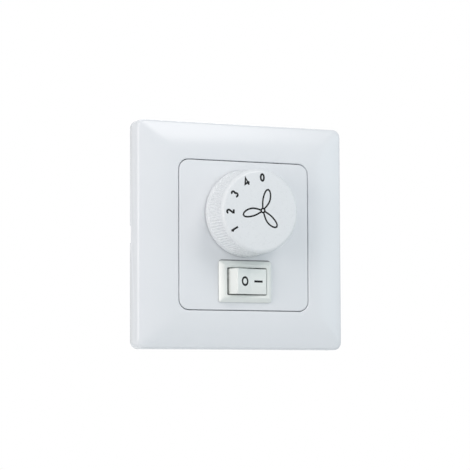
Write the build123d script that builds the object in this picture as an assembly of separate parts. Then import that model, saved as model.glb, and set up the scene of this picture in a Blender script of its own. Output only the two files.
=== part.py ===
from build123d import *
from math import cos, pi, radians, sin, sqrt, tan
import os

os.makedirs("parts", exist_ok=True)

# A flush wall controller for a ceiling fan: a rotary speed switch over a small rocker switch.
# Millimetres. Each piece is drawn lying on its back: X to the right, Y up the wall, Z out of the
# wall. "hang" then turns it up, so that in the files the front looks along -Y and Z is up.
# The origin is the middle of the fixing screws, on the wall's face.

# Cover frame
frame_width = 82.0
frame_height = 82.0
frame_corner = 3.8
frame_edge_height = 6.9
frame_edge_round = 1.0
frame_wall = 2.2
notch_width = 6.2
notch_height = 1.0
notch_depth = 1.2

# Centre plate
plate_width = 51.4
plate_height = 53.8
plate_corner = 3.7
plate_level = 9.4
plate_thick = 2.2
plate_gap = 0.3
plate_edge_round = 0.3
ledge_width = 2.5
ledge_thick = 1.6
ledge_wall = 1.6
skirt_wall = 1.4
skirt_depth = 3.8
skirt_clearance = 0.3
rib_thick = 1.2
rib_depth = 2.0

# Knob
knob_up = 8.0
knob_radius = 15.8
knob_rim_radius = 15.1
knob_height = 13.0
knob_gap = 0.5
knob_wall = 1.8
knob_cap = 2.0
knob_band = 2.3
knob_knurl_end = 11.2
knob_round = 1.5
knob_crown = 0.35
knurl_count = 90
knurl_depth = 0.3
knurl_inset = 0.06
boss_radius = 5.4
boss_gap = 0.9
bore_tip_gap = 0.2

# Rotary switch
shaft_radius = 3.0
shaft_end = 20.4
shaft_flat = 1.5
shaft_clearance = 0.04
shaft_tail = 10.0
thread_radius = 5.0
thread_end = 11.8
thread_clearance = 0.3
thread_chamfer = 0.4
nut_play = 0.02
nut_flats = 13.0
nut_thick = 2.4
plate_nut_thick = 2.0
washer_radius = 7.2
washer_thick = 0.6
flange_radius = 7.0
flange_thick = 1.5
switch_radius = 14.0
switch_depth = 12.5
switch_wall = 1.6
switch_front = 2.0
peg_radius = 1.0
peg_offset = 10.5
wafer_rebate = 0.4
step_angle = 30.0
speed_count = 4
rotor_radius = 9.5
rotor_thick = 3.0
rotor_hub_radius = 4.5
rotor_level = 3.8
scallop_radius = 1.2
scallop_offset = 0.2
lug_reach = 2.4
lug_half_angle = 8.0
stop_margin = 2.0
stop_half_angle = 4.0
stop_gap = 0.3
detent_thick = 0.4
detent_height = 2.2
detent_nub_radius = 0.9
detent_gap = 0.35
detent_end_gap = 0.1
wafer_thick = 1.5
contact_radius = 1.3
contact_thick = 0.8
contact_ring = 9.0
common_ring = 6.0
wiper_thick = 0.4
wiper_width = 3.0
wiper_gap = 0.1
pin_radius = 0.5
pin_clearance = 0.05

# Rocker switch
rocker_up = -16.65
bezel_lap = 1.05
bezel_rise = 2.0
bezel_corner = 0.7
bezel_bevel = 1.6
bezel_lip = 0.5
body_width = 18.9
body_height = 12.9
body_depth = 13.0
body_floor = 1.8
body_end_wall = 1.65
body_side_wall = 1.55
cutout_clearance = 0.2
wing_width = 4.0
wing_reach = 0.6
wing_length = 3.5
pivot_depth = 2.6
paddle_tilt = 14.0
paddle_vee = 7.0
paddle_tip_lean = 0.7
paddle_tip_height = 4.7
paddle_foot_gap = 0.3
paddle_foot_height = 0.6
paddle_skirt = 1.4
paddle_wall = 1.2
paddle_clearance = 0.2
trunnion_radius = 1.0
trunnion_length = 1.15
trunnion_end_gap = 0.1
barrel_radius = 2.3
barrel_bore = 1.6
barrel_end = 3.6
plunger_radius = 1.5
plunger_tip_radius = 1.1
plunger_reach = 8.3
plunger_guide = 1.5
spring_radius = 1.1
spring_wire = 0.2
spring_turns = 4
bar_length = 11.2
bar_width = 3.4
bar_thick = 0.5
bar_vee = 10.0
bar_tilt = 5.0
bar_level = 0.45
tab_width = 4.8
tab_thick = 0.8
tab_length = 8.0
tab_spacing = 7.0

# Mounting strap
strap_size = 71.0
strap_corner = 9.0
window_corner = 1.0
strap_thick = 1.2
strap_flange = 2.6
fixing_spacing = 60.0
slot_length = 7.4
slot_width = 3.8
window_margin = 1.0

# Rear housing
housing_size = 50.0
housing_round = 58.0
housing_depth = 34.2
housing_wall = 1.6
screw_boss_radius = 2.6
screw_upper = (18.5, 16.0)
screw_lower = (16.5, -19.0)
screw_radius = 1.25
screw_length = 8.0
screw_head_radius = 2.6
screw_head_height = 1.5
screw_clearance = 0.1
screw_slot = 0.7
screw_play = 0.02
entry_height = 7.0
entry_margin = 1.0
access_radius = 2.1

# Circuit board and what stands on it
board_level = 18.0
board_thick = 1.6
board_clearance = 0.4
rest_width = 3.0
capacitor_width = 26.0
capacitor_height = 11.0
capacitor_depth = 11.0
capacitor_stand = 1.2
capacitor_pitch = 22.5
capacitor_ups = (12.0, -0.5)
capacitor_chamfer = 0.6
lead_pin_radius = 0.4
resistor_radius = 1.8
resistor_length = 9.0
resistor_pitch = 14.0
resistor_side = 18.0
resistor_up = 3.0
resistor_stand = 0.4
resistor_chamfer = 0.5
pole_count = 5
pole_pitch = 5.0
terminal_height = 9.4
terminal_depth = 11.0
terminal_gap = 0.3
terminal_wall = 0.2
terminal_roof = 2.0
entry_size = 3.4
entry_depth = 5.5
terminal_screw_radius = 1.5
terminal_screw_length = 6.0
terminal_screw_sink = 1.0
terminal_screw_offset = 1.5
terminal_screw_slot = 0.6
terminal_screw_play = 0.15
clamp_thick = 0.6
wire_radius = 0.9
wire_shift = 5.0

# Sizes that follow from the ones above
opening_width = plate_width + 2 * plate_gap
opening_height = plate_height + 2 * plate_gap
plate_back = plate_level - plate_thick
ledge_back = plate_back - ledge_thick
ledge_span = (plate_width - 2 * ledge_width, plate_height - 2 * ledge_width)
knob_base = plate_level + knob_gap
bezel_width = body_width + 2 * bezel_lap
bezel_height = body_height + 2 * bezel_lap
window_width = body_width - 2 * body_end_wall
window_height = body_height - 2 * body_side_wall
paddle_foot = window_width / 2 - paddle_foot_gap
paddle_tip = paddle_foot - paddle_tip_lean
pivot_level = plate_level + bezel_rise - pivot_depth
body_back = plate_level - body_depth
board_back = board_level + board_thick
fulcrum_level = bar_level - bar_thick
switch_inner = switch_radius - switch_wall
wafer_level = switch_depth - wafer_thick
contact_level = wafer_level - contact_thick
contact_angles = [90 - step_angle * step for step in range(1, speed_count + 1)]
screw_places = [
    (side * place[0], place[1]) for place in (screw_upper, screw_lower) for side in (-1, 1)
]
pole_places = [(index - (pole_count - 1) / 2) * pole_pitch for index in range(pole_count)]
terminal_low = -(housing_size / 2 - housing_wall) + terminal_gap
knob_axis = Pos(0, knob_up, 0)
rocker_axis = Pos(0, rocker_up, 0)


def hang(shape):
    """Turn a piece drawn on its back up onto the wall."""
    return Rot(90, 0, 0) * shape


def save(name, shape):
    """Write one piece to its own file."""
    export_step(hang(shape), f"parts/{name}.step")


def rod(radius, low, high):
    """A round bar on the drawing's axis, from one level to another."""
    return Pos(0, 0, (low + high) / 2) * Cylinder(radius, high - low)


def block(width, height, low, high):
    """A plain block about the drawing's axis, from one level to another."""
    return Pos(0, 0, (low + high) / 2) * Box(width, height, high - low)


def slab(width, height, corner, low, high):
    """A block with rounded corners about the drawing's axis."""
    return Pos(0, 0, low) * extrude(RectangleRounded(width, height, corner), high - low)


def taper(bottom, top, corner, low, high):
    """A block whose straight sides lean from one rounded outline to another."""
    outlines = [
        Pos(0, 0, low) * RectangleRounded(*bottom, corner),
        Pos(0, 0, high) * RectangleRounded(*top, corner),
    ]
    return loft(outlines, ruled=True)


def polar(radius, angle):
    """The place at a distance and an angle from the axis."""
    return (radius * cos(radians(angle)), radius * sin(radians(angle)))


def hexagon(flats, low, high):
    """A hexagonal bar, measured across its flats."""
    outline = RegularPolygon(flats / 2, 6, major_radius=False)
    return Pos(0, 0, low) * extrude(outline, high - low)


def d_bar(radius, flat, low, high):
    """A round bar with one flat, cut by the given depth."""
    cut = Pos(0, radius - flat + radius, 0) * block(3 * radius, 2 * radius, low - 1, high + 1)
    return rod(radius, low, high) - cut


def front_level(inset):
    """How far the frame's front stands off the wall, at an inset from its outer edge."""
    run = (frame_width - opening_width) / 2
    rise = plate_level - frame_edge_height
    dome = plate_level - rise * (1 - inset / run) ** 2
    if inset >= frame_edge_round:
        return dome
    lean = 1 - inset / frame_edge_round
    return dome - frame_edge_round * (1 - sqrt(1 - lean**2))


def frame_dome():
    """The frame's front: rounded outlines that step up from the outer edge to the plate."""
    run = (frame_width - opening_width) / 2
    insets = [frame_edge_round * (1 - cos(radians(lean))) for lean in (0, 24, 48, 70)]
    insets += [frame_edge_round + (run - frame_edge_round) * step / 5 for step in range(6)]
    outlines = []
    for inset in insets:
        width = frame_width - 2 * inset
        height = frame_height - (frame_height - opening_height) * inset / run
        outlines.append(Pos(0, 0, front_level(inset)) * RectangleRounded(width, height, frame_corner))
    return loft(outlines, ruled=True)


def frame_cavity():
    """The hollow behind the frame's front."""
    span = (frame_width - 2 * frame_wall, frame_height - 2 * frame_wall)
    inner = (opening_width + 2 * ledge_wall, opening_height + 2 * ledge_wall)
    corner = frame_corner - frame_wall / 2
    shoulder = frame_edge_height - frame_wall
    cavity = slab(*span, corner, -1, shoulder) + taper(span, inner, corner, shoulder, plate_back)
    return cavity - slab(*inner, plate_corner, ledge_back, plate_level)


def cover_frame():
    """The square surround, hollow behind, with the ledge that the centre plate clamps."""
    edge = front_level(0.0)
    frame = slab(frame_width, frame_height, frame_corner, 0, edge) + frame_dome()
    frame -= frame_cavity()
    frame -= slab(*ledge_span, plate_corner, -1, plate_level + 1)
    frame -= slab(opening_width, opening_height, plate_corner + plate_gap, plate_back, plate_level + 1)
    for place in (-0.5, 0.0, 0.5):
        rib = Pos(0, place * opening_height, 0) * frame_rib(frame_width, opening_width)
        frame += rib
        rib = Pos(place * opening_width, 0, 0) * Rot(0, 0, 90) * frame_rib(frame_height, opening_height)
        frame += rib
    notch = block(2 * notch_depth, notch_width, -1, notch_height)
    return frame - Pos(-frame_width / 2, 0, 0) * notch


def frame_rib(outer, inner):
    """A pair of thin ribs that stiffen the frame's front, one on each side of the opening."""
    outer_face = outer / 2 - frame_wall
    inner_face = inner / 2 + ledge_wall
    profile = [
        (inner_face - 0.2, ledge_back),
        (outer_face + 0.2, frame_edge_height - frame_wall - 0.5),
        (outer_face + 0.2, frame_edge_height - frame_wall + 0.2),
        (inner_face - 0.2, plate_back + 0.1),
    ]
    rib = extrude(Plane.XZ * Polygon(*profile, align=None), rib_thick / 2, both=True)
    return rib + mirror(rib, Plane.YZ)


def centre_plate():
    """The plate that carries the rocker and lets the knob's bushing through."""
    plate = slab(plate_width, plate_height, plate_corner, plate_back, plate_level)
    plate = fillet(plate.faces().sort_by(Axis.Z)[-1].edges(), plate_edge_round)
    span = [size - 2 * skirt_clearance for size in ledge_span]
    skirt = slab(*span, plate_corner, plate_back - skirt_depth, plate_back)
    skirt -= slab(span[0] - 2 * skirt_wall, span[1] - 2 * skirt_wall, plate_corner - skirt_wall,
                  plate_back - skirt_depth, plate_back)
    plate += skirt
    collar = rod(thread_radius + thread_clearance + rib_thick, plate_back - rib_depth, plate_back)
    plate += knob_axis * collar
    for side in (-1, 1):
        rib = block(rib_thick, span[1] - 2 * skirt_wall + 0.2, plate_back - rib_depth, plate_back)
        plate += Pos(side * (bezel_width / 2 + 3 * rib_thick), 0, 0) * rib
    plate -= knob_axis * rod(thread_radius + thread_clearance, 0, plate_level + 1)
    cutout = block(body_width + 2 * cutout_clearance, body_height + cutout_clearance, 0, plate_level + 1)
    return plate - rocker_axis * cutout


def star(level):
    """The knurled outline of the knob at one level, a little inside its smooth band."""
    radius = knob_side(level) - knurl_inset
    points = []
    for index in range(knurl_count):
        points.append(polar(radius, 360 * index / knurl_count))
        points.append(polar(radius - knurl_depth, 360 * (index + 0.5) / knurl_count))
    return Pos(0, 0, level) * Polygon(*points, align=None)


def knob_side(level):
    """The knob's outer radius at a level above its base."""
    return knob_radius - (knob_radius - knob_rim_radius) * level / (knob_height - knob_round)


def knob():
    """The drafted, knurled cap, hollow behind, with a boss for the shaft's flat."""
    shoulder = knob_height - knob_round
    face_radius = knob_rim_radius - knob_round
    with BuildPart() as cap:
        with BuildSketch(Plane.XZ):
            with BuildLine():
                Polyline((0, 0), (knob_radius, 0), (knob_side(knob_band), knob_band))
                low = (knob_side(knob_band) - 2 * knurl_depth, knob_band)
                high = (knob_side(knob_knurl_end) - 2 * knurl_depth, knob_knurl_end)
                Polyline((knob_side(knob_band), knob_band), low, high)
                Polyline(high, (knob_side(knob_knurl_end), knob_knurl_end), (knob_rim_radius, shoulder))
                edge = (face_radius, knob_height)
                bend = (face_radius + knob_round * sin(pi / 4), shoulder + knob_round * cos(pi / 4))
                ThreePointArc((knob_rim_radius, shoulder), bend, edge)
                TangentArc((0, knob_height + knob_crown), edge, tangent=(1, 0))
                Line((0, knob_height + knob_crown), (0, 0))
            make_face()
        revolve(axis=Axis.Z)
    knurl = loft([star(knob_band), star(knob_knurl_end)], ruled=True)
    shape = cap.part + knurl
    cavity = rod(knob_rim_radius - knob_wall, -1, knob_height - knob_cap)
    cavity -= rod(boss_radius, thread_end + boss_gap - knob_base, knob_height)
    shape -= cavity
    shaft_room = d_bar(shaft_radius + shaft_clearance, shaft_flat, 0, shaft_end + bore_tip_gap - knob_base)
    return knob_axis * Pos(0, 0, knob_base) * (shape - shaft_room)


def switch_housing():
    """The rotary switch's cup, with its locating peg, stops and seat for the wafer."""
    cup = rod(switch_radius, -switch_depth, 0)
    cup -= rod(switch_inner, -wafer_level, -switch_front)
    cup -= rod(switch_inner + wafer_rebate, -switch_depth - 1, -wafer_level)
    cup -= rod(thread_radius + pin_clearance, -switch_front - 1, 1)
    cup += Pos(-peg_offset, 0, 0) * rod(peg_radius, -switch_front, strap_thick)
    turn = speed_count * step_angle
    reach = lug_half_angle + stop_margin + stop_half_angle
    for angle in (lug_angle() + reach, lug_angle() - turn - reach):
        cup += Rot(0, 0, angle) * stop_block()
    return knob_axis * cup


def lug_angle():
    """Where the rotor's stop lug points when the knob is at 0."""
    return speed_count * step_angle / 2


def stop_block():
    """One of the two stops that end the rotor's travel."""
    inner = rotor_radius + stop_gap
    outer = switch_inner + switch_wall / 4
    width = 2 * inner * sin(radians(stop_half_angle))
    stop = block(outer - inner, width, -rotor_level - rotor_thick, -switch_front)
    return Pos((inner + outer) / 2, 0, 0) * stop


def switch_bushing():
    """The brass bushing that carries the shaft and holds switch, strap and plate together."""
    bushing = rod(thread_radius, -switch_front, thread_end)
    bushing += rod(flange_radius, -switch_front - flange_thick, -switch_front)
    bushing = chamfer(bushing.edges().group_by(Axis.Z)[-1], thread_chamfer)
    bore = rod(shaft_radius + shaft_clearance, -switch_front - flange_thick - 1, thread_end + 1)
    return knob_axis * (bushing - bore)


def bushing_washer():
    """The washer between the strap and its nut."""
    washer = rod(washer_radius, strap_thick, strap_thick + washer_thick)
    return knob_axis * (washer - rod(thread_radius + pin_clearance, 0, strap_thick + 1))


def bushing_nut(low, thick):
    """A hexagonal nut with chamfered corners."""
    nut = hexagon(nut_flats, low, low + thick)
    dome = Pos(0, 0, low + thick / 2) * Cone(nut_flats / 2 + 2.5, nut_flats / 2 - 0.3 + thick / 2, thick)
    nut = nut & dome
    return knob_axis * (nut - rod(thread_radius + nut_play, low - 1, low + thick + 1))


def switch_shaft():
    """The steel shaft, with a flat for the knob in front and one for the rotor behind."""
    shaft = rod(shaft_radius, -shaft_tail, shaft_end)
    shaft = chamfer(shaft.edges().group_by(Axis.Z)[-1], thread_chamfer)
    cut_up = 2 * shaft_radius - shaft_flat
    flat_start = thread_end + thread_clearance
    front = Pos(0, cut_up, 0) * block(4 * shaft_radius, 2 * shaft_radius, flat_start, shaft_end + 1)
    rear = Pos(0, cut_up, 0) * block(4 * shaft_radius, 2 * shaft_radius, -shaft_tail - 1, -rotor_level)
    return knob_axis * (shaft - front - rear)


def detent_rotor():
    """The scalloped wheel that clicks from speed to speed, with its stop lug."""
    front = -rotor_level
    back = front - rotor_thick
    wheel = rod(rotor_radius, back, front)
    lug = Pos(rotor_radius, 0, 0) * block(2 * lug_reach, 2 * rotor_radius * sin(radians(lug_half_angle)),
                                          back, front)
    wheel += Rot(0, 0, lug_angle()) * lug
    scallop = Pos(rotor_radius + scallop_offset, 0, 0) * rod(scallop_radius, back, front)
    for index in range(int(360 / step_angle)):
        angle = 180 + index * step_angle
        if abs((angle - lug_angle() + 180) % 360 - 180) > step_angle / 2 + 1:
            wheel -= Rot(0, 0, angle) * scallop
    wheel += rod(rotor_hub_radius, wiper_front(), back)
    return knob_axis * (wheel - d_bar(shaft_radius + shaft_clearance, shaft_flat, -shaft_tail - 1, front + 1))


def wiper_front():
    """The level of the rotor's hub, where the wiper sits."""
    return -(contact_level - wiper_gap - 3 * wiper_thick)


def detent_spring():
    """The flat spring whose bent nub drops into the rotor's scallops."""
    line = -(rotor_radius + detent_gap)
    reach = sqrt(switch_inner**2 - (line - detent_thick) ** 2) - detent_end_gap
    low = -rotor_level - (rotor_thick + detent_height) / 2
    strip = Pos(line - detent_thick / 2, 0, 0) * block(detent_thick, 2 * reach, low, low + detent_height)
    nub = Pos(line, 0, 0) * rod(detent_nub_radius, low, low + detent_height)
    nub -= Pos(line, 0, 0) * rod(detent_nub_radius - detent_thick, low - 1, low + detent_height + 1)
    spring = strip + nub
    trim = Pos(line - detent_thick - 1, 0, 0) * block(2, 4, low - 1, low + detent_height + 1)
    spring -= trim
    return knob_axis * spring


def wiper():
    """The sprung brass contact that turns with the rotor."""
    front = wiper_front()
    back = front - wiper_thick
    blade = rod(rotor_hub_radius, back, front)
    length = contact_ring + contact_radius / 2
    blade += Pos(0, length / 2, 0) * block(wiper_width, length, back, front)
    dimple = rod(contact_radius / 2, -contact_level + wiper_gap, back)
    blade += Pos(0, contact_ring, 0) * dimple
    blade += Pos(0, common_ring, 0) * dimple
    blade -= d_bar(shaft_radius + shaft_clearance, shaft_flat, -shaft_tail - 1, 0)
    return knob_axis * blade


def contact_places():
    """Where the switch's contacts stand, about the knob's axis."""
    return [polar(contact_ring, angle) for angle in contact_angles]


def switch_wafer():
    """The insulating disc that closes the switch and holds its contacts."""
    wafer = rod(switch_inner + wafer_rebate - pin_clearance, -switch_depth, -wafer_level)
    for place in contact_places() + [(-common_ring, 0)]:
        wafer -= Pos(*place, 0) * rod(pin_radius + pin_clearance, -switch_depth - 1, 0)
    return knob_axis * wafer


def switch_contacts():
    """The four speed contacts and the common ring, each with a pin for the board."""
    pin = rod(pin_radius, -board_back - 1, -wafer_level)
    head = rod(contact_radius, -wafer_level, -contact_level)
    pieces = [Pos(*place, 0) * (pin + head) for place in contact_places()]
    ring = rod(common_ring + 1, -wafer_level, -contact_level) - rod(common_ring - 1, -wafer_level - 1, 0)
    pieces.append(ring + Pos(-common_ring, 0, 0) * pin)
    return Compound([knob_axis * piece for piece in pieces])


def rocker_body():
    """The rocker's bevelled bezel and the moulded body that snaps into the plate."""
    lip = plate_level + bezel_lip
    front = plate_level + bezel_rise
    bezel = slab(bezel_width, bezel_height, bezel_corner, plate_level, lip)
    top = (bezel_width - 2 * bezel_bevel, bezel_height - 2 * bezel_bevel)
    bezel += taper((bezel_width, bezel_height), top, bezel_corner, lip, front)
    body = bezel + block(body_width, body_height, body_back, plate_level)
    for side in (-1, 1):
        profile = [(0, plate_back), (wing_reach, plate_back), (0, plate_back - wing_length)]
        wing = extrude(Plane.XZ * Polygon(*profile, align=None), wing_width / 2, both=True)
        wing = wing if side > 0 else mirror(wing, Plane.YZ)
        body += Pos(side * body_width / 2, 0, 0) * wing
    body -= block(window_width, window_height, body_back + body_floor, front + 1)
    pocket_length = 2 * (trunnion_span() + trunnion_end_gap)
    pocket = Rot(90, 0, 0) * Cylinder(trunnion_radius + pin_clearance, pocket_length)
    body -= Pos(0, 0, pivot_level) * pocket
    for place in (0, -tab_spacing):
        slot = block(tab_thick + 2 * pin_clearance, tab_width + 2 * pin_clearance, body_back - 1, 0)
        body -= Pos(place, 0, 0) * slot
    return rocker_axis * body


def trunnion_span():
    """Half the length over the paddle's two pivot pins."""
    return window_height / 2 - paddle_clearance + trunnion_length


def at_paddle(shape):
    """Put a piece drawn about the paddle's pivot in place, with its right end pressed."""
    return rocker_axis * Pos(0, 0, pivot_level) * Rot(0, paddle_tilt, 0) * shape


def rocker_paddle():
    """The two-faced paddle, hollow beneath, with its pivot pins and plunger barrel."""
    half = window_height / 2 - paddle_clearance
    valley = paddle_tip_height - paddle_tip * tan(radians(paddle_vee))
    right = [(paddle_tip, paddle_tip_height), (paddle_foot, paddle_foot_height), (paddle_foot, -paddle_skirt)]
    left = [(-x, y) for x, y in reversed(right)]
    paddle = extrude(Plane.XZ * Polygon((0, valley), *right, *left, align=None), half, both=True)
    tops = paddle.edges().filter_by(Axis.Y).group_by(Axis.Z)[-1]
    paddle = fillet(tops, paddle_wall / 3)
    room = [
        (0, valley - paddle_wall),
        (paddle_tip - paddle_wall, paddle_tip_height - 1.4 * paddle_wall),
        (paddle_foot - paddle_wall, -paddle_skirt - 1),
        (paddle_wall - paddle_foot, -paddle_skirt - 1),
        (paddle_wall - paddle_tip, paddle_tip_height - 1.4 * paddle_wall),
    ]
    paddle -= extrude(Plane.XZ * Polygon(*room, align=None), half - paddle_wall, both=True)
    barrel = rod(barrel_radius, -barrel_end, valley - paddle_wall / 2)
    barrel -= rod(barrel_bore, -barrel_end - 1, spring_top())
    pins = Rot(90, 0, 0) * Cylinder(trunnion_radius, 2 * trunnion_span())
    pins -= Rot(90, 0, 0) * Cylinder(2 * trunnion_radius, 2 * (half - paddle_wall / 2))
    return at_paddle(paddle + barrel + pins)


def spring_top():
    """The blind end of the paddle's barrel, above its pivot."""
    return barrel_bore


def rocker_plunger():
    """The pin that the spring pushes onto the contact bar."""
    neck = -barrel_end - 2 * plunger_tip_radius
    shape = rod(plunger_radius, neck, -barrel_end + plunger_guide)
    shape += rod(plunger_tip_radius, -plunger_reach + plunger_tip_radius, neck)
    shape += Pos(0, 0, -plunger_reach + plunger_tip_radius) * Sphere(plunger_tip_radius)
    return at_paddle(shape)


def rocker_spring():
    """The coil spring above the plunger."""
    low = -barrel_end + plunger_guide + spring_wire
    high = spring_top() - spring_wire
    path = Helix((high - low) / spring_turns, high - low, spring_radius)
    section = Plane(origin=path @ 0, z_dir=path % 0) * RegularPolygon(spring_wire, 6)
    return at_paddle(Pos(0, 0, low) * sweep(section, path))


def contact_bar():
    """The see-saw contact: a shallow vee that rocks on the middle terminal."""
    half = bar_length / 2
    rise = half * tan(radians(bar_vee))
    profile = [(0, 0), (half, rise), (half, rise + bar_thick), (0, bar_thick)]
    profile += [(-half, rise + bar_thick), (-half, rise)]
    bar = extrude(Plane.XZ * Polygon(*profile, align=None), bar_width / 2, both=True)
    return rocker_axis * Pos(0, 0, fulcrum_level) * Rot(0, -bar_tilt, 0) * bar


def rocker_terminals():
    """The middle terminal, which is the bar's fulcrum, and the one that the bar's end meets."""
    tail = body_back - tab_length
    middle = block(tab_thick, tab_width, tail, fulcrum_level - 0.05)
    side = Pos(-tab_spacing, 0, 0) * block(tab_thick, tab_width, tail, seat_level())
    half = bar_length / 2
    pad_end = -half + tab_thick
    width = tab_spacing + tab_thick / 2 + pad_end
    pad = Pos(pad_end - width / 2, 0, 0) * block(width, tab_width, seat_level() - tab_thick / 2, seat_level())
    return Compound([rocker_axis * middle, rocker_axis * (side + pad)])


def seat_level():
    """The level of the contact that the bar's lower end meets."""
    reach = bar_length / 2 - tab_thick
    return fulcrum_level + reach * tan(radians(bar_vee - bar_tilt)) - wiper_gap


def mounting_strap():
    """The pressed steel strap, with slots for the box's screws and two folded stiffening edges."""
    strap = slab(strap_size, strap_size, strap_corner, 0, strap_thick)
    straight = strap_size - 2 * strap_corner
    for side in (-1, 1):
        edge = block(straight, strap_thick, strap_thick / 2, strap_thick + strap_flange)
        strap += Pos(0, side * (strap_size - strap_thick) / 2, 0) * edge
        slot = extrude(SlotOverall(slot_length, slot_width), strap_thick + 2)
        strap -= Pos(side * fixing_spacing / 2, 0, -1) * slot
    strap -= knob_axis * rod(thread_radius + 2 * pin_clearance, -1, strap_thick + 1)
    strap -= knob_axis * Pos(-peg_offset, 0, 0) * rod(peg_radius + pin_clearance, -1, strap_thick + 1)
    window = slab(body_width + 2 * window_margin, body_height + 2 * window_margin, window_corner, -1,
                  strap_thick + 1)
    strap -= rocker_axis * window
    for place in screw_places:
        strap -= Pos(*place, 0) * rod(screw_radius + screw_clearance, -1, strap_thick + 1)
    return strap


def housing_outline(inset):
    """The rear housing's section: a square whose corners are cut to fit a round box."""
    side = housing_size - 2 * inset
    return Rectangle(side, side) & Circle(housing_round / 2 - inset)


def rear_housing():
    """The deep cup behind the strap, with screw bosses, cable window and screwdriver holes."""
    shell = Pos(0, 0, -housing_depth) * extrude(housing_outline(0), housing_depth)
    floor = -housing_depth + housing_wall
    room = Pos(0, 0, floor) * extrude(housing_outline(housing_wall), housing_depth)
    boss = rod(screw_boss_radius, floor, 0)
    for place in screw_places:
        room -= Pos(*place, 0) * boss
    for side in (-1, 1):
        rest = block(rest_width, 2 * rest_width, floor, -board_back)
        place = (side * (housing_size / 2 - housing_wall - rest_width / 2), -rest_width, 0)
        room -= Pos(*place) * rest
    shell -= room
    for place in screw_places:
        shell -= Pos(*place, 0) * rod(screw_radius + screw_play, -screw_length - 1, 1)
    entry_width = pole_count * pole_pitch + entry_margin
    entry = block(entry_width, 4 * housing_wall, entry_low(), entry_low() + entry_height)
    shell -= Pos(0, -housing_size / 2, 0) * entry
    for place in pole_places:
        hole = rod(access_radius, -housing_depth - 1, floor + 1)
        shell -= Pos(place, terminal_low + terminal_height / 2, 0) * hole
    return shell


def entry_low():
    """The level where the housing's cable window starts."""
    return -board_back - entry_margin - entry_height


def housing_screws():
    """The four screws that join the strap to the housing."""
    head = rod(screw_head_radius, strap_thick, strap_thick + screw_head_height)
    head = chamfer(head.edges().group_by(Axis.Z)[-1], screw_head_height / 2)
    slot = block(screw_slot, 3 * screw_head_radius, strap_thick + screw_head_height / 2, strap_thick + 3)
    screw = head - slot + rod(screw_radius, -screw_length, strap_thick)
    return Compound([Pos(*place, 0) * screw for place in screw_places])


def capacitor_pins():
    """Where the capacitors' wires pass the board."""
    return [(side * capacitor_pitch / 2, up) for up in capacitor_ups for side in (-1, 1)]


def resistor_pins():
    """Where the resistors' wires pass the board."""
    span = resistor_pitch / 2
    return [(x * resistor_side, resistor_up + end * span) for x in (-1, 1) for end in (-1, 1)]


def circuit_board():
    """The board, notched round the housing's screw bosses and drilled for every pin."""
    outline = housing_outline(housing_wall + board_clearance)
    board = Pos(0, 0, -board_back) * extrude(outline, board_thick)
    for place in screw_places:
        board -= Pos(*place, 0) * rod(screw_boss_radius + board_clearance, -board_back - 1, -board_level + 1)
    holes = [(x, up + knob_up, pin_radius) for x, up in contact_places() + [(-common_ring, 0)]]
    holes += [(x, up, lead_pin_radius) for x, up in capacitor_pins() + resistor_pins()]
    holes += [(x, terminal_low + terminal_height / 2, pin_radius) for x in pole_places]
    for x, up, radius in holes:
        board -= Pos(x, up, 0) * rod(radius + pin_clearance, -board_back - 1, -board_level + 1)
    return board


def capacitor(up):
    """A boxed film capacitor that stands on the back of the board."""
    front = -board_back - capacitor_stand
    case = block(capacitor_width, capacitor_height, front - capacitor_depth, front)
    case = chamfer(case.edges().filter_by(Axis.Z) + case.edges().group_by(Axis.Z)[0], capacitor_chamfer)
    for side in (-1, 1):
        case += Pos(side * capacitor_pitch / 2, 0, 0) * rod(lead_pin_radius, front, 1 - board_level)
    return Pos(0, up, 0) * case


def bleed_resistors():
    """The two resistors that discharge the capacitors, each with its bent wires."""
    span = resistor_pitch / 2
    level = -board_back - resistor_radius - resistor_stand
    pieces = []
    for side in (-1, 1):
        body = Rot(90, 0, 0) * Cylinder(resistor_radius, resistor_length)
        body = Pos(0, 0, level) * chamfer(body.edges(), resistor_chamfer)
        tip = 1 - board_level
        path = FilletPolyline((0, -span, tip), (0, -span, level), (0, span, level), (0, span, tip),
                              radius=3 * lead_pin_radius)
        section = Plane(origin=(0, -span, tip), z_dir=(0, 0, -1)) * RegularPolygon(lead_pin_radius, 6)
        pieces.append(Pos(side * resistor_side, resistor_up, 0) * (body + sweep(section, path)))
    return Compound(pieces)


def terminal_block():
    """The five-pole block, open below for the wires and behind for the screws."""
    middle = terminal_low + terminal_height / 2
    back = -board_back - terminal_depth
    width = pole_count * pole_pitch + 2 * terminal_wall
    body = Pos(0, middle, 0) * block(width, terminal_height, back, -board_back)
    for place in pole_places:
        entry = block(entry_size, 2 * entry_depth, entry_level(), entry_level() + entry_size)
        body -= Pos(place, terminal_low, 0) * entry
        well = rod(terminal_screw_radius + terminal_screw_play, back - 1, entry_level() + 0.1)
        body -= Pos(place, middle - terminal_screw_offset, 0) * well
        body -= Pos(place, middle, 0) * rod(pin_radius + pin_clearance, entry_level() + 0.2, 0)
    return body


def entry_level():
    """The lowest level of the wire entries in the terminal block."""
    return -board_back - terminal_roof - entry_size


def terminal_clamps():
    """The brass seats that the wires are pressed onto, each with its pin for the board."""
    middle = terminal_low + terminal_height / 2
    top = entry_level() + entry_size
    length = entry_depth - terminal_screw_radius
    seat_up = entry_depth - 2 * pin_clearance - length / 2 - terminal_height / 2
    seat = Pos(0, seat_up, 0) * block(entry_size - 4 * pin_clearance, length, top - clamp_thick, top)
    clamp = seat + rod(pin_radius, top - clamp_thick / 2, -board_level + 1)
    return Compound([Pos(place, middle, 0) * clamp for place in pole_places])


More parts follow.
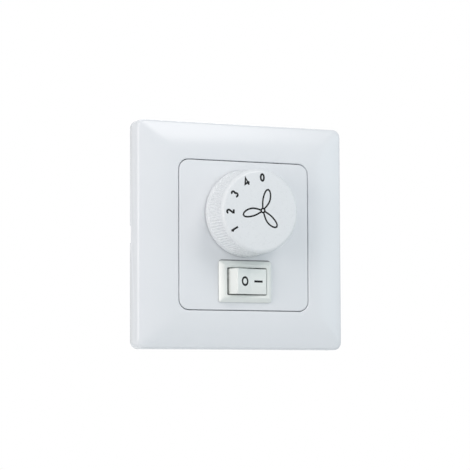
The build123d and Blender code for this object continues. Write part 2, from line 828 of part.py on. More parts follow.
def terminal_screws():
    """The slotted screws of the terminal block."""
    middle = terminal_low + terminal_height / 2 - terminal_screw_offset
    back = -board_back - terminal_depth + terminal_screw_sink
    screw = rod(terminal_screw_radius, back, back + terminal_screw_length)
    screw -= block(terminal_screw_slot, 3 * terminal_screw_radius, back - 1, back + terminal_screw_radius / 2)
    return Compound([Pos(place, middle, 0) * screw for place in pole_places])


def switch_lead(tab, side):
    """A short insulated lead from one of the rocker's tabs to the board."""
    start = body_back - tab_length
    run = (start + board_level) / 4
    x = tab + side * wire_shift
    points = [(tab, 0, start), (tab, 0, start - run), (x, 0, run - board_level), (x, 0, -board_level)]
    path = FilletPolyline(*points, radius=run)
    section = Plane(origin=points[0], z_dir=(0, 0, -1)) * RegularPolygon(wire_radius, 8)
    return rocker_axis * sweep(section, path)


def main():
    """Build every piece and write its file."""
    save("cover_frame", cover_frame())
    save("centre_plate", centre_plate())
    save("knob", knob())
    save("rocker_body", rocker_body())
    save("rocker_paddle", rocker_paddle())
    save("rocker_plunger", rocker_plunger())
    save("rocker_spring", rocker_spring())
    save("contact_bar", contact_bar())
    save("rocker_terminals", rocker_terminals())
    save("mounting_strap", mounting_strap())
    save("switch_housing", switch_housing())
    save("switch_bushing", switch_bushing())
    save("bushing_washer", bushing_washer())
    save("bushing_nut", bushing_nut(strap_thick + washer_thick, nut_thick))
    save("plate_nut", bushing_nut(plate_level, plate_nut_thick))
    save("switch_shaft", switch_shaft())
    save("detent_rotor", detent_rotor())
    save("detent_spring", detent_spring())
    save("wiper", wiper())
    save("switch_wafer", switch_wafer())
    save("switch_contacts", switch_contacts())
    save("rear_housing", rear_housing())
    save("housing_screws", housing_screws())
    save("circuit_board", circuit_board())
    for name, up in zip(("upper_capacitor", "lower_capacitor"), capacitor_ups):
        save(name, capacitor(up))
    save("bleed_resistors", bleed_resistors())
    save("terminal_block", terminal_block())
    save("terminal_clamps", terminal_clamps())
    save("terminal_screws", terminal_screws())
    save("live_lead", switch_lead(0, 1))
    save("lamp_lead", switch_lead(-tab_spacing, -1))


main()
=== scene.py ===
"""The looks of a flush wall controller for a ceiling fan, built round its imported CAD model.

Lengths are in millimetres unless a text says otherwise. A place is given by how far it lies to the right, up
the wall and out from the wall.
"""
import logging
import math
from dataclasses import dataclass, field
from enum import Enum
from typing import Callable, Sequence

import bmesh
import bpy
from mathutils import Matrix, Vector


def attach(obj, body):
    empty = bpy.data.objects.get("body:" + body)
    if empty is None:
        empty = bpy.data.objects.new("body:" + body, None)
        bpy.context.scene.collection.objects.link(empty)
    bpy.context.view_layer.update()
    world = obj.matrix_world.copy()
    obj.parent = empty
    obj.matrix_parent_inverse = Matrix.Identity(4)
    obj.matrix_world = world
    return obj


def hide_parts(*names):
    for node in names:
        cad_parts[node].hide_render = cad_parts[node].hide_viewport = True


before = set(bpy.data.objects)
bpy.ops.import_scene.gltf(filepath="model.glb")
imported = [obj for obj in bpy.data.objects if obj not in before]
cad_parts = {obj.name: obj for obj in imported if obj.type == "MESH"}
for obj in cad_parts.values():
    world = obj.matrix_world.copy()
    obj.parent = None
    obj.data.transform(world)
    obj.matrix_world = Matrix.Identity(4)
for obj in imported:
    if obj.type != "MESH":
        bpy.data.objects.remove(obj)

LOG = logging.getLogger("fan_controller")
MM = 0.001
LAP = 0.1  # how far parts of one piece reach into each other, so that they join
OVER = 1.0  # how far a cutter reaches past what it cuts
PRINT_RISE = 0.015
PRINT_SINK = -0.03
FINE_STEPS, COARSE_STEPS = 4, 2  # edges round small corners
Point = tuple[float, float]
Triple = tuple[float, float, float]
Colour = Triple
Ring = list[Vector]
Socket = bpy.types.NodeSocket
Tree = bpy.types.NodeTree


def spot(x: float, up: float, out: float) -> Vector:
    """Turn millimetres to the right, up the wall and out from it into a place in the frame."""
    return Vector((x, -out, up)) * MM


def turns(count: int) -> list[float]:
    """List the angles of evenly spaced points round a circle, in radians."""
    return [math.tau * i / count for i in range(count)]


def heading(degrees: float) -> Vector:
    """Give the way that an angle points, as a flat vector."""
    return Vector((math.cos(math.radians(degrees)), math.sin(math.radians(degrees))))


def quarter(radius: float, steps: int) -> list[Point]:
    """List the insets and the drops along a rounded edge, from its side to its top."""
    leans = [math.pi / 2 * i / steps for i in range(steps + 1)]
    return [(radius * (1 - math.cos(a)), radius * (1 - math.sin(a))) for a in leans]


def outline(width: float, height: float, corner: float, out: float, mid_up: float = 0.0, steps: int = 8) -> Ring:
    """List the points of a rectangle with rounded corners, parallel to the wall.

    Args:
        width: Size to the right.
        height: Size up the wall.
        corner: Radius of the corners.
        out: Distance in front of the wall.
        mid_up: How far up its middle is.
        steps: Number of edges round each corner.

    Returns:
        The points, anticlockwise as seen from the front.
    """
    points = []
    for number, (side_x, side_up) in enumerate(((1, 1), (-1, 1), (-1, -1), (1, -1))):
        mid_x, mid_y = side_x * (width / 2 - corner), side_up * (height / 2 - corner)
        for step in range(steps + 1):
            angle = math.pi / 2 * (number + step / steps)
            points.append(spot(mid_x + corner * math.cos(angle), mid_up + mid_y + corner * math.sin(angle), out))
    return points


def lathe(place: Callable[[float, float, float], Vector], sections: Sequence[Point], count: int) -> list[Ring]:
    """Draw a round shape from its radii and where they lie along its axis, with a function that places points."""
    return [[place(radius * math.cos(a), radius * math.sin(a), along) for a in turns(count)]
            for radius, along in sections]


def block(size: Point, levels: Point, mid: Point = (0.0, 0.0), corner: float = 0.4, steps: int = 8) -> list[Ring]:
    """Draw a block between two levels, with rounded corners, as its rings of points."""
    shift = spot(mid[0], 0, 0)
    return [[point + shift for point in outline(*size, corner, out, mid[1], steps)] for out in levels]


class Shell:
    """A mesh in the making, put together from rings of points."""

    def __init__(self, rings: Sequence[Ring] = (), close: bool = False) -> None:
        """Start a mesh, with a skin over the rings if there are any.

        Args:
            rings: The rings, in order.
            close: Whether the last ring joins the first. If not, both are filled.
        """
        self.bm = bmesh.new()
        if rings:
            self.skin(rings, close)

    def skin(self, rings: Sequence[Ring], close: bool = False) -> None:
        """Join rings of equal length with bands of faces.

        Args:
            rings: The rings, in order.
            close: Whether the last ring joins the first. If not, both are filled.
        """
        loops = [[self.bm.verts.new(point) for point in ring] for ring in rings]
        for low, high in zip(loops, loops[1:] + loops[:1] if close else loops[1:]):
            for face in zip(low, low[1:] + low[:1], high[1:] + high[:1], high):
                self.bm.faces.new(face)
        if not close:
            self.bm.faces.new(loops[0][::-1])
            self.bm.faces.new(loops[-1])

    def strip(self, left: Ring, right: Ring, sink: Vector, closed: bool = False) -> None:
        """Add a thin strip between two edges, as deep as the sink."""
        self.skin([[a, b, b + sink, a + sink] for a, b in zip(left, right)], closed)

    def mesh(self, name: str) -> bpy.types.Mesh:
        """Finish the mesh, with its faces turned outward.

        Args:
            name: The mesh's name.

        Returns:
            The new mesh.
        """
        bmesh.ops.recalc_face_normals(self.bm, faces=self.bm.faces[:])
        mesh = bpy.data.meshes.new(name)
        self.bm.to_mesh(mesh)
        self.bm.free()
        return mesh


def place_mesh(mesh: bpy.types.Mesh, name: str) -> bpy.types.Object:
    """Put a mesh in the scene as an object at the origin.

    Args:
        mesh: The mesh.
        name: The object's name.

    Returns:
        The new object.
    """
    piece = bpy.data.objects.new(name, mesh)
    bpy.context.scene.collection.objects.link(piece)
    return piece


def carve(body: Shell, cutters: Sequence[Shell], name: str) -> Shell:
    """Cut shapes out of a closed shell.

    Args:
        body: The shell to cut.
        cutters: The closed shells to take away.
        name: A name for the work pieces.

    Returns:
        The cut shell, open to more parts.
    """
    target = place_mesh(body.mesh(name), name)
    tools = [place_mesh(cutter.mesh(name), f"{name}_cut") for cutter in cutters]
    for tool in tools:
        cut = target.modifiers.new("cut", "BOOLEAN")
        cut.operation = "DIFFERENCE"
        cut.solver = "EXACT"
        cut.object = tool
    bpy.context.view_layer.update()
    graph = bpy.context.evaluated_depsgraph_get()
    result = Shell()
    result.bm.from_mesh(bpy.data.meshes.new_from_object(target.evaluated_get(graph)))
    for thing in (target, *tools):
        bpy.data.objects.remove(thing)
    return result


class Marks(Enum):
    """The kinds of fine marks that a finish may have."""

    MOULDED = "moulded"
    BRUSHED = "brushed"
    TURNED = "turned"
    LAMINATE = "laminate"


class NodeSheet:
    """A node tree with short ways to add, join and fill in nodes."""

    def __init__(self, tree: Tree) -> None:
        """Take the tree to work on."""
        self.tree = tree

    def feed(self, slot: Socket, value: object) -> None:
        """Join an output to an input, or set the input's own value.

        Args:
            slot: The input.
            value: An output, a number, a colour or a vector.
        """
        if isinstance(value, Socket):
            self.tree.links.new(value, slot)
        else:
            slot.default_value = (*value, 1.0) if slot.type == "RGBA" else value

    def fill(self, node: bpy.types.Node, values: dict[str, object]) -> None:
        """Feed some of a node's inputs, by name."""
        for name, value in values.items():
            self.feed(next(s for s in node.inputs if s.name == name and s.enabled), value)

    def add(self, kind: str, values: dict[str, object] | None = None, **settings: object) -> bpy.types.Node:
        """Add a node.

        Args:
            kind: The node's type, without the words ShaderNode.
            values: What its inputs are fed, by name.
            settings: Values for the node's own properties.

        Returns:
            The node.
        """
        node = self.tree.nodes.new(kind if kind.startswith("Node") else f"ShaderNode{kind}")
        for name, value in settings.items():
            setattr(node, name, value)
        self.fill(node, values or {})
        return node

    def math(self, operation: str, first: object, second: object) -> Socket:
        """Work out one value from two.

        Args:
            operation: What is worked out.
            first: An output or a number.
            second: An output or a number.

        Returns:
            The result.
        """
        node = self.add("Math", operation=operation)
        for slot, value in zip(node.inputs, (first, second)):
            self.feed(slot, value)
        return node.outputs[0]

    def weigh(self, first: Socket, first_share: float, second: Socket, second_share: float) -> Socket:
        """Add two values, each taken by its share."""
        return self.math("ADD", self.math("MULTIPLY", first, first_share), self.math("MULTIPLY", second, second_share))

    def blend(self, share: Socket, first: Socket, second: Socket) -> Socket:
        """Mix two colours.

        Args:
            share: The share that the second has.
            first: The first colour.
            second: The second colour.

        Returns:
            The mixed colour.
        """
        node = self.add("Mix", data_type="RGBA")
        self.fill(node, {"Factor": share, "A": first, "B": second})
        return next(s for s in node.outputs if s.enabled)

    def spread(self, value: Socket, old: Point, new: Point = (0.0, 1.0)) -> Socket:
        """Stretch a value from an old range to a new one, held at the ends."""
        return self.add("MapRange", {"Value": value, "From Min": old[0], "From Max": old[1], "To Min": new[0],
                                     "To Max": new[1]}).outputs["Result"]

    def noise(self, place: Socket, scale: object, detail: float) -> Socket:
        """Add a soft noise, with more fine layers the higher its detail."""
        return self.add("TexNoise", {"Vector": place, "Scale": scale, "Detail": detail}).outputs["Fac"]


class GroupSheet(NodeSheet):
    """The sheet of a new node group."""

    def __init__(self, name: str, inputs: dict[str, str], outputs: dict[str, str]) -> None:
        """Start the group.

        Args:
            name: Its name.
            inputs: The names of its inputs and their kinds of socket.
            outputs: The names of its outputs and their kinds of socket.
        """
        super().__init__(bpy.data.node_groups.new(name, "ShaderNodeTree"))
        for way, sockets in (("INPUT", inputs), ("OUTPUT", outputs)):
            for title, kind in sockets.items():
                self.tree.interface.new_socket(name=title, in_out=way, socket_type=f"NodeSocket{kind}")
        self.given = self.add("NodeGroupInput").outputs
        self.results = self.add("NodeGroupOutput")


class SkinSheet(GroupSheet):
    """The sheet of a group for one kind of surface marks."""

    def __init__(self, name: str) -> None:
        """Start the group with the sockets that every kind of marks has.

        Args:
            name: The group's name.
        """
        super().__init__(name, {"Place": "Vector", "Colour": "Color", "Second Colour": "Color", "Amount": "Float",
                                "Gloss Low": "Float", "Gloss High": "Float", "Scale": "Float"},
                         {"Colour": "Color", "Roughness": "Float", "Height": "Float"})

    def scaled(self, scale: float) -> Socket:
        """Give a texture's scale, worked out from its scale at a group scale of 1."""
        return self.math("MULTIPLY", self.given["Scale"], scale)

    def grain(self, scale: float, detail: float, squeeze: Triple = (1.0, 1.0, 1.0)) -> Socket:
        """Add a noise that may be drawn out along an axis.

        Args:
            scale: Its scale at a group scale of 1.
            detail: How many finer layers it has.
            squeeze: How much of its scale it has along each axis.

        Returns:
            The noise's value.
        """
        stretch = self.add("VectorMath", operation="MULTIPLY")
        self.feed(stretch.inputs[0], self.given["Place"])
        self.feed(stretch.inputs[1], squeeze)
        return self.noise(stretch.outputs[0], self.scaled(scale), detail)

    def conclude(self, tint: Socket, gloss: Socket, height: Socket) -> Tree:
        """Join the masks to the group's outputs.

        Args:
            tint: How much of the second colour there is.
            gloss: Where between its two roughnesses the surface is.
            height: The height of its relief.

        Returns:
            The group.
        """
        given = self.given
        share = self.math("MULTIPLY", tint, given["Amount"])
        run = self.math("SUBTRACT", given["Gloss High"], given["Gloss Low"])
        self.fill(self.results, {
            "Colour": self.blend(share, given["Colour"], given["Second Colour"]),
            "Roughness": self.math("ADD", self.math("MULTIPLY", run, gloss), given["Gloss Low"]),
            "Height": height,
        })
        return self.tree


class SharedEffects:
    """The node groups that the materials share, each made once."""

    def __init__(self) -> None:
        """Make the groups."""
        self.marks = {Marks.MOULDED: self.moulded_skin(), Marks.BRUSHED: self.brushed_skin(),
                      Marks.TURNED: self.turned_skin(), Marks.LAMINATE: self.laminate_skin()}
        self.wear_and_shade_group = self.wear_dirt_and_shade()

    @staticmethod
    def moulded_skin() -> Tree:
        """Make the skin of moulded plastic: slow flow clouds and a fine orange peel.

        Returns:
            The group.
        """
        sheet = SkinSheet("moulded_skin")
        clouds = sheet.grain(scale=60.0, detail=2.0)
        peel = sheet.grain(scale=900.0, detail=2.0)
        fine = sheet.grain(scale=5200.0, detail=1.0)
        return sheet.conclude(sheet.spread(clouds, (0.35, 0.68)), sheet.weigh(peel, 0.5, fine, 0.5),
                              sheet.weigh(peel, 1.0, fine, 0.35))

    @staticmethod
    def brushed_skin() -> Tree:
        """Make the skin of rolled and plated steel: long fine lines with a cloudy passivation.

        Returns:
            The group.
        """
        sheet = SkinSheet("brushed_skin")
        lines = sheet.grain(scale=2600.0, detail=4.0, squeeze=(0.06, 1.0, 1.0))
        clouds = sheet.grain(scale=130.0, detail=4.0)
        return sheet.conclude(sheet.spread(clouds, (0.4, 0.66)), sheet.weigh(lines, 0.7, clouds, 0.3), lines)

    @staticmethod
    def turned_skin() -> Tree:
        """Make the skin of turned metal: fine tool lines round the wall's normal, with dull patches.

        Returns:
            The group.
        """
        sheet = SkinSheet("turned_skin")
        wave = sheet.add("TexWave", {"Vector": sheet.given["Place"], "Scale": sheet.scaled(420.0), "Distortion": 1.2,
                                     "Detail": 2.0}, wave_type="RINGS", rings_direction="Y").outputs["Fac"]
        clouds = sheet.grain(scale=240.0, detail=4.0)
        fine = sheet.grain(scale=3800.0, detail=2.0)
        return sheet.conclude(sheet.spread(clouds, (0.42, 0.64)), sheet.weigh(wave, 0.5, fine, 0.5), wave)

    @staticmethod
    def laminate_skin() -> Tree:
        """Make the skin of laminated board: crossed fibres under resin, with darker specks.

        Returns:
            The group.
        """
        sheet = SkinSheet("laminate_skin")
        weave = sheet.math("MAXIMUM", *(sheet.grain(scale=2400.0, detail=2.0, squeeze=squeeze)
                                        for squeeze in ((1.0, 1.0, 0.08), (0.08, 1.0, 1.0))))
        specks = sheet.grain(scale=900.0, detail=3.0)
        tint = sheet.math("ADD", sheet.spread(weave, (0.45, 0.75), (0.0, 0.7)),
                          sheet.spread(specks, (0.62, 0.74), (0.0, 0.5)))
        return sheet.conclude(tint, specks, weave)

    @staticmethod
    def wear_dirt_and_shade() -> Tree:
        """Make the wear, dirt and painted shade: edges rubbed a little smoother, and hollows and corners darkened by
        settled dirt together with painted shade.

        Returns:
            The group.
        """
        sheet = GroupSheet("wear_dirt_and_shade", {"Place": "Vector", "Colour": "Color", "Roughness": "Float",
                                               "Edge Colour": "Color", "Wear": "Float", "Dirt And Shade": "Float",
                                               "Dirt And Shade Colour": "Color"}, {"Colour": "Color", "Roughness": "Float"})
        given = sheet.given
        uneven = sheet.noise(given["Place"], scale=420.0, detail=3.0)
        pointed = sheet.add("NewGeometry").outputs["Pointiness"]
        edge = sheet.math("MULTIPLY", sheet.spread(pointed, (0.52, 0.6)),
                          sheet.spread(uneven, (0.35, 0.6), (0.3, 1.0)))
        worn = sheet.math("MULTIPLY", edge, given["Wear"])
        # Ambient occlusion finds the hollows. Darkening them is partly settled dirt and partly painted shade.
        open_sky = sheet.add("AmbientOcclusion", {"Distance": 1.2 * MM}, samples=4, only_local=False).outputs["AO"]
        hollow = sheet.spread(open_sky, (0.25, 0.85), (1.0, 0.0))
        dirt_and_shade_mask = sheet.math("MULTIPLY", sheet.math("MULTIPLY", hollow, given["Dirt And Shade"]),
                             sheet.spread(uneven, (0.3, 0.7), (0.5, 1.0)))
        rubbed = sheet.blend(worn, given["Colour"], given["Edge Colour"])
        smoother = sheet.math("SUBTRACT", given["Roughness"], sheet.math("MULTIPLY", worn, 0.25))
        sheet.fill(sheet.results, {
            "Colour": sheet.blend(dirt_and_shade_mask, rubbed, given["Dirt And Shade Colour"]),
            "Roughness": sheet.math("ADD", smoother, sheet.math("MULTIPLY", dirt_and_shade_mask, 0.6)),
        })
        return sheet.tree


@dataclass(frozen=True)
class Finish:
    """One surface finish: its colours, its gloss and the marks on it."""

    name: str
    colour: Colour
    second: Colour
    roughness: Point
    marks: Marks = Marks.MOULDED
    amount: float = 0.5
    scale: float = 1.0
    relief: float = 0.02
    metallic: float = 0.0
    coat: float = 0.0
    coat_roughness: float = 0.12
    wear: float = 0.15
    # How far hollows darken, by settled dirt together with painted shade, and the colour they darken to.
    dirt_and_shade: float = 0.1
    dirt_and_shade_colour: Colour = (0.42, 0.42, 0.43)
    edge: Colour = (0.9, 0.9, 0.9)
    ior: float = 1.5

    def material(self, effects: SharedEffects) -> bpy.types.Material:
        """Make the material.

        Args:
            effects: The shared node groups.

        Returns:
            The new material.
        """
        made = bpy.data.materials.new(self.name)
        made.use_nodes = True
        made.diffuse_color = (*self.colour, 1.0)
        sheet = NodeSheet(made.node_tree)
        place = sheet.add("TexCoord").outputs["Object"]
        skin = sheet.add("Group", node_tree=effects.marks[self.marks])
        sheet.fill(skin, {"Place": place, "Colour": self.colour, "Second Colour": self.second, "Amount": self.amount,
                          "Gloss Low": self.roughness[0], "Gloss High": self.roughness[1], "Scale": self.scale})
        worn_and_shaded = sheet.add("Group", node_tree=effects.wear_and_shade_group)
        sheet.fill(worn_and_shaded, {"Place": place, "Colour": skin.outputs["Colour"], "Roughness": skin.outputs["Roughness"],
                            "Edge Colour": self.edge, "Wear": self.wear, "Dirt And Shade": self.dirt_and_shade,
                            "Dirt And Shade Colour": self.dirt_and_shade_colour})
        bump = sheet.add("Bump", {"Strength": 1.0, "Distance": self.relief * MM, "Height": skin.outputs["Height"]})
        sheet.fill(made.node_tree.nodes["Principled BSDF"], {
            "Base Color": worn_and_shaded.outputs["Colour"], "Roughness": worn_and_shaded.outputs["Roughness"],
            "Normal": bump.outputs["Normal"], "Metallic": self.metallic, "Coat Weight": self.coat,
            "Coat Roughness": self.coat_roughness, "IOR": self.ior,
        })
        return made


# Its small share of dirt and shade paints a little shade into hollows, such as along the bezel's edge.
WHITE_SHELL = Finish("white_shell_plastic", (0.79, 0.816, 0.84), (0.776, 0.803, 0.83), (0.19, 0.26), relief=0.0005,
                     dirt_and_shade=0.12, edge=(0.84, 0.87, 0.9))
KNOB_WHITE = Finish("knob_white_plastic", (0.782, 0.81, 0.826), (0.77, 0.798, 0.816), (0.24, 0.32), relief=0.0003,
                    dirt_and_shade=0.03, edge=(0.85, 0.87, 0.88))
# The rocker's large, near-black share of dirt and shade paints shade into the gaps round the paddle and along the
# bezel's edges.
ROCKER_WHITE = Finish("rocker_white_plastic", (0.838, 0.872, 0.842), (0.824, 0.858, 0.828), (0.16, 0.22),
                      relief=0.0005, dirt_and_shade=0.9, dirt_and_shade_colour=(0.12, 0.14, 0.13), edge=(0.88, 0.9, 0.87))
# A dark strip that paints the shadow line on the plate along the bezel's upper edge.
PAINTED_BEZEL_SHADOW = Finish("painted_bezel_shadow", (0.2, 0.21, 0.22), (0.3, 0.31, 0.32), (0.7, 0.85), relief=0.004, amount=0.8,
                   scale=4.0, wear=0.0, dirt_and_shade=0.0)
BLACK_INK = Finish("black_print", (0.012, 0.013, 0.014), (0.02, 0.02, 0.022), (0.4, 0.55), relief=0.0008, wear=0.05,
                   dirt_and_shade=0.0, edge=(0.04, 0.04, 0.04), ior=1.25)
NATURAL_NYLON = Finish("natural_nylon", (0.7, 0.67, 0.56), (0.6, 0.56, 0.45), (0.4, 0.55), relief=0.006)
SPRING_STEEL = Finish("spring_steel_wire", (0.42, 0.42, 0.43), (0.3, 0.3, 0.32), (0.25, 0.4), Marks.BRUSHED,
                      relief=0.002, metallic=1.0)
BRASS = Finish("turned_brass", (0.72, 0.5, 0.2), (0.55, 0.36, 0.13), (0.22, 0.42), Marks.TURNED, relief=0.003,
               metallic=1.0, edge=(0.85, 0.65, 0.32))
NUT_BRASS = Finish("nickel_plated_brass", (0.62, 0.6, 0.55), (0.5, 0.46, 0.36), (0.2, 0.34), Marks.TURNED,
                   relief=0.003, metallic=1.0, edge=(0.75, 0.65, 0.42))
ZINC_STEEL = Finish("zinc_plated_sheet", (0.58, 0.6, 0.63), (0.5, 0.53, 0.55), (0.3, 0.46), Marks.BRUSHED,
                    relief=0.003, metallic=1.0, edge=(0.75, 0.76, 0.78))
SHAFT_STEEL = Finish("turned_steel", (0.5, 0.5, 0.52), (0.4, 0.4, 0.42), (0.2, 0.34), Marks.TURNED, relief=0.002,
                     metallic=1.0)
SCREW_STEEL = Finish("zinc_plated_screw", (0.6, 0.62, 0.64), (0.5, 0.5, 0.45), (0.24, 0.42), Marks.TURNED,
                     relief=0.003, metallic=1.0)
BLACK_PLASTIC = Finish("black_phenolic", (0.02, 0.02, 0.021), (0.035, 0.034, 0.033), (0.34, 0.5), relief=0.006,
                       edge=(0.1, 0.1, 0.1))
GREY_PLASTIC = Finish("grey_moulded_plastic", (0.4, 0.42, 0.43), (0.36, 0.38, 0.39), (0.42, 0.56), relief=0.008,
                      edge=(0.55, 0.56, 0.57))
BROWN_BOARD = Finish("brown_laminate", (0.36, 0.22, 0.1), (0.26, 0.15, 0.07), (0.35, 0.55), Marks.LAMINATE,
                     relief=0.01, edge=(0.5, 0.36, 0.2))
CAPACITOR_YELLOW = Finish("yellow_capacitor_case", (0.68, 0.45, 0.05), (0.6, 0.38, 0.04), (0.3, 0.42), relief=0.004,
                          edge=(0.8, 0.6, 0.2))
RESISTOR_BLUE = Finish("lacquered_resistor", (0.12, 0.27, 0.42), (0.09, 0.22, 0.36), (0.2, 0.35), relief=0.01,
                       scale=1.6, coat=0.3)
TERMINAL_GREEN = Finish("green_terminal_plastic", (0.05, 0.25, 0.11), (0.04, 0.21, 0.09), (0.35, 0.48), relief=0.005,
                        edge=(0.12, 0.36, 0.2))
BROWN_LEAD = Finish("brown_lead_sleeve", (0.13, 0.05, 0.025), (0.1, 0.04, 0.02), (0.4, 0.55), relief=0.01)
BLUE_LEAD = Finish("blue_lead_sleeve", (0.03, 0.1, 0.42), (0.025, 0.08, 0.35), (0.4, 0.55), relief=0.01)


class Paintbox:
    """Keeps each finish's material, so that it is made once."""

    def __init__(self) -> None:
        """Make the shared effects."""
        self.effects = SharedEffects()
        self.made: dict[str, bpy.types.Material] = {}

    def get(self, finish: Finish) -> bpy.types.Material:
        """Give a finish's material.

        Args:
            finish: The finish.

        Returns:
            The material, made when it is first asked for.
        """
        if finish.name not in self.made:
            self.made[finish.name] = finish.material(self.effects)
        return self.made[finish.name]


@dataclass
class SubAssembly:
    """What every sub-assembly can do: place its pieces, dress them and say which body they ride on."""

    paints: Paintbox
    pieces: list[bpy.types.Object] = field(default_factory=list, init=False)

    def add_piece(self, shell: Shell, name: str, finish: Finish, body: str, slot: str,
                  crease: float = 35.0) -> bpy.types.Object:
        """Finish a shell, dress it and let it ride on a body.

        Args:
            shell: The shell.
            name: The piece's name.
            finish: Its finish.
            body: The CAD body that it moves with.
            slot: The name of a material slot; not used.
            crease: The angle above which an edge stays sharp, in degrees.

        Returns:
            The piece.
        """
        mesh = shell.mesh(name)
        mesh.shade_smooth()
        mesh.set_sharp_from_angle(angle=math.radians(crease))
        mesh.materials.append(self.paints.get(finish))
        piece = place_mesh(mesh, name)
        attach(piece, body)
        self.pieces.append(piece)
        return piece


@dataclass(frozen=True)
class Layout:
    """Sizes and places that several sub-assemblies share."""

    plate_width: float = 51.4
    plate_height: float = 53.8
    plate_corner: float = 3.7
    plate_level: float = 9.4
    plate_thick: float = 2.2
    ledge_width: float = 2.5
    knob_up: float = 8.0
    rocker_up: float = -16.65

    @property
    def plate_back(self) -> float:
        """The level of the plate's back and of the ledge under it."""
        return self.plate_level - self.plate_thick


LAYOUT = Layout()


@dataclass
class CoverFrame(SubAssembly):
    """The domed surround with its ledge, ribs and pry notch."""

    width: float = 82.0
    height: float = 82.0
    corner: float = 2.8
    edge_height: float = 6.9
    edge_round: float = 1.0
    edge_steps: int = 10
    dome_steps: int = 16
    foot: float = 0.25
    foot_share: float = 0.3
    rim_drop: float = 0.6
    wall: float = 2.2
    gap: float = 0.3
    ledge_thick: float = 1.6
    ledge_wall: float = 1.6
    lip: float = 0.35
    lip_steps: int = 5
    rib_thick: float = 1.2
    rib_lap: float = 0.2
    rib_depth: float = 0.5
    notch_width: float = 6.2
    notch_height: float = 1.0
    notch_depth: float = 1.2

    @property
    def opening(self) -> Point:
        """The opening's width and height."""
        return LAYOUT.plate_width + 2 * self.gap, LAYOUT.plate_height + 2 * self.gap

    @property
    def run(self) -> float:
        """How far the opening's sides lie in from the outer edge."""
        return (self.width - self.opening[0]) / 2

    def front(self, inset: float) -> float:
        """Give the level of the domed front.

        Args:
            inset: How far in from the outer edge.

        Returns:
            The level there.
        """
        dome = LAYOUT.plate_level - (LAYOUT.plate_level - self.edge_height) * (1 - inset / self.run) ** 2
        if inset >= self.edge_round:
            return dome
        lean = 1 - inset / self.edge_round
        return dome - self.edge_round * (1 - math.sqrt(max(0.0, 1 - lean**2)))

    def step(self, inset: float, level: float) -> Ring:
        """Give one outline of the front.

        Args:
            inset: How far in from the outer edge.
            level: Distance in front of the wall.

        Returns:
            The outline's points.
        """
        share = inset / self.run
        height = self.height - (self.height - self.opening[1]) * share
        corner = self.corner + (LAYOUT.plate_corner + self.gap - self.corner) * share
        return outline(self.width - 2 * inset, height, corner, level)

    def loops(self) -> list[Ring]:
        """Give the rings of the surround, from the rim over the front and back inside.

        Returns:
            The rings, the last of which joins the first.
        """
        rings = [self.step(self.foot, 0.0), self.step(self.foot * self.foot_share, self.foot * self.foot_share),
                 self.step(0.0, self.foot), self.step(0.0, self.front(0.0) - self.rim_drop)]
        slope = (self.run - self.lip - self.edge_round) / self.dome_steps
        insets = [inset for inset, _ in quarter(self.edge_round, self.edge_steps)]
        insets += [self.edge_round + slope * (number + 1) for number in range(self.dome_steps)]
        rings += [self.step(inset, self.front(inset)) for inset in insets]
        top = self.front(self.run - self.lip)
        rings += [self.step(self.run - b, top - a) for a, b in quarter(self.lip, self.lip_steps)[1:]]
        seat = LAYOUT.plate_back
        back = seat - self.ledge_thick
        rings.append(self.step(self.run, seat))
        span = (LAYOUT.plate_width - 2 * LAYOUT.ledge_width, LAYOUT.plate_height - 2 * LAYOUT.ledge_width)
        inner = (self.opening[0] + 2 * self.ledge_wall, self.opening[1] + 2 * self.ledge_wall)
        hollow = (self.width - 2 * self.wall, self.height - 2 * self.wall)
        for size, out in ((span, seat), (span, back), (inner, back), (inner, seat)):
            rings.append(outline(*size, LAYOUT.plate_corner, out))
        for out in (self.edge_height - self.wall, 0.0):
            rings.append(outline(*hollow, self.corner - self.wall / 2, out))
        return rings

    def ribs(self, shell: Shell) -> None:
        """Add the thin ribs behind the front.

        Args:
            shell: The surround's shell, which takes them.
        """
        under = self.edge_height - self.wall
        for turned, along in ((False, self.opening[1] / 2), (True, self.opening[0] / 2)):
            outer = (self.height if turned else self.width) / 2 - self.wall + self.rib_lap
            inner = self.opening[1 if turned else 0] / 2 + self.ledge_wall - self.rib_lap
            profile = [(inner, LAYOUT.plate_back - self.ledge_thick), (outer, under - self.rib_depth),
                       (outer, under + self.rib_lap), (inner, LAYOUT.plate_back + LAP)]
            for place, side in ((share * along, side) for share in (-1, 0, 1) for side in (-1, 1)):
                faces = (place - self.rib_thick / 2, place + self.rib_thick / 2)
                shell.skin([[spot(face, side * run, out) if turned else spot(side * run, face, out)
                             for run, out in profile] for face in faces])

    def build(self) -> None:
        """Build the surround."""
        notch = block((2 * self.notch_depth, self.notch_width), (-OVER, self.notch_height), (-self.width / 2, 0.0))
        shell = carve(Shell(self.loops(), close=True), [Shell(notch)], "surround")
        self.ribs(shell)
        piece = self.add_piece(shell, "surround", WHITE_SHELL, "base", "white_shell", crease=28.0)
        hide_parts("cover_frame")


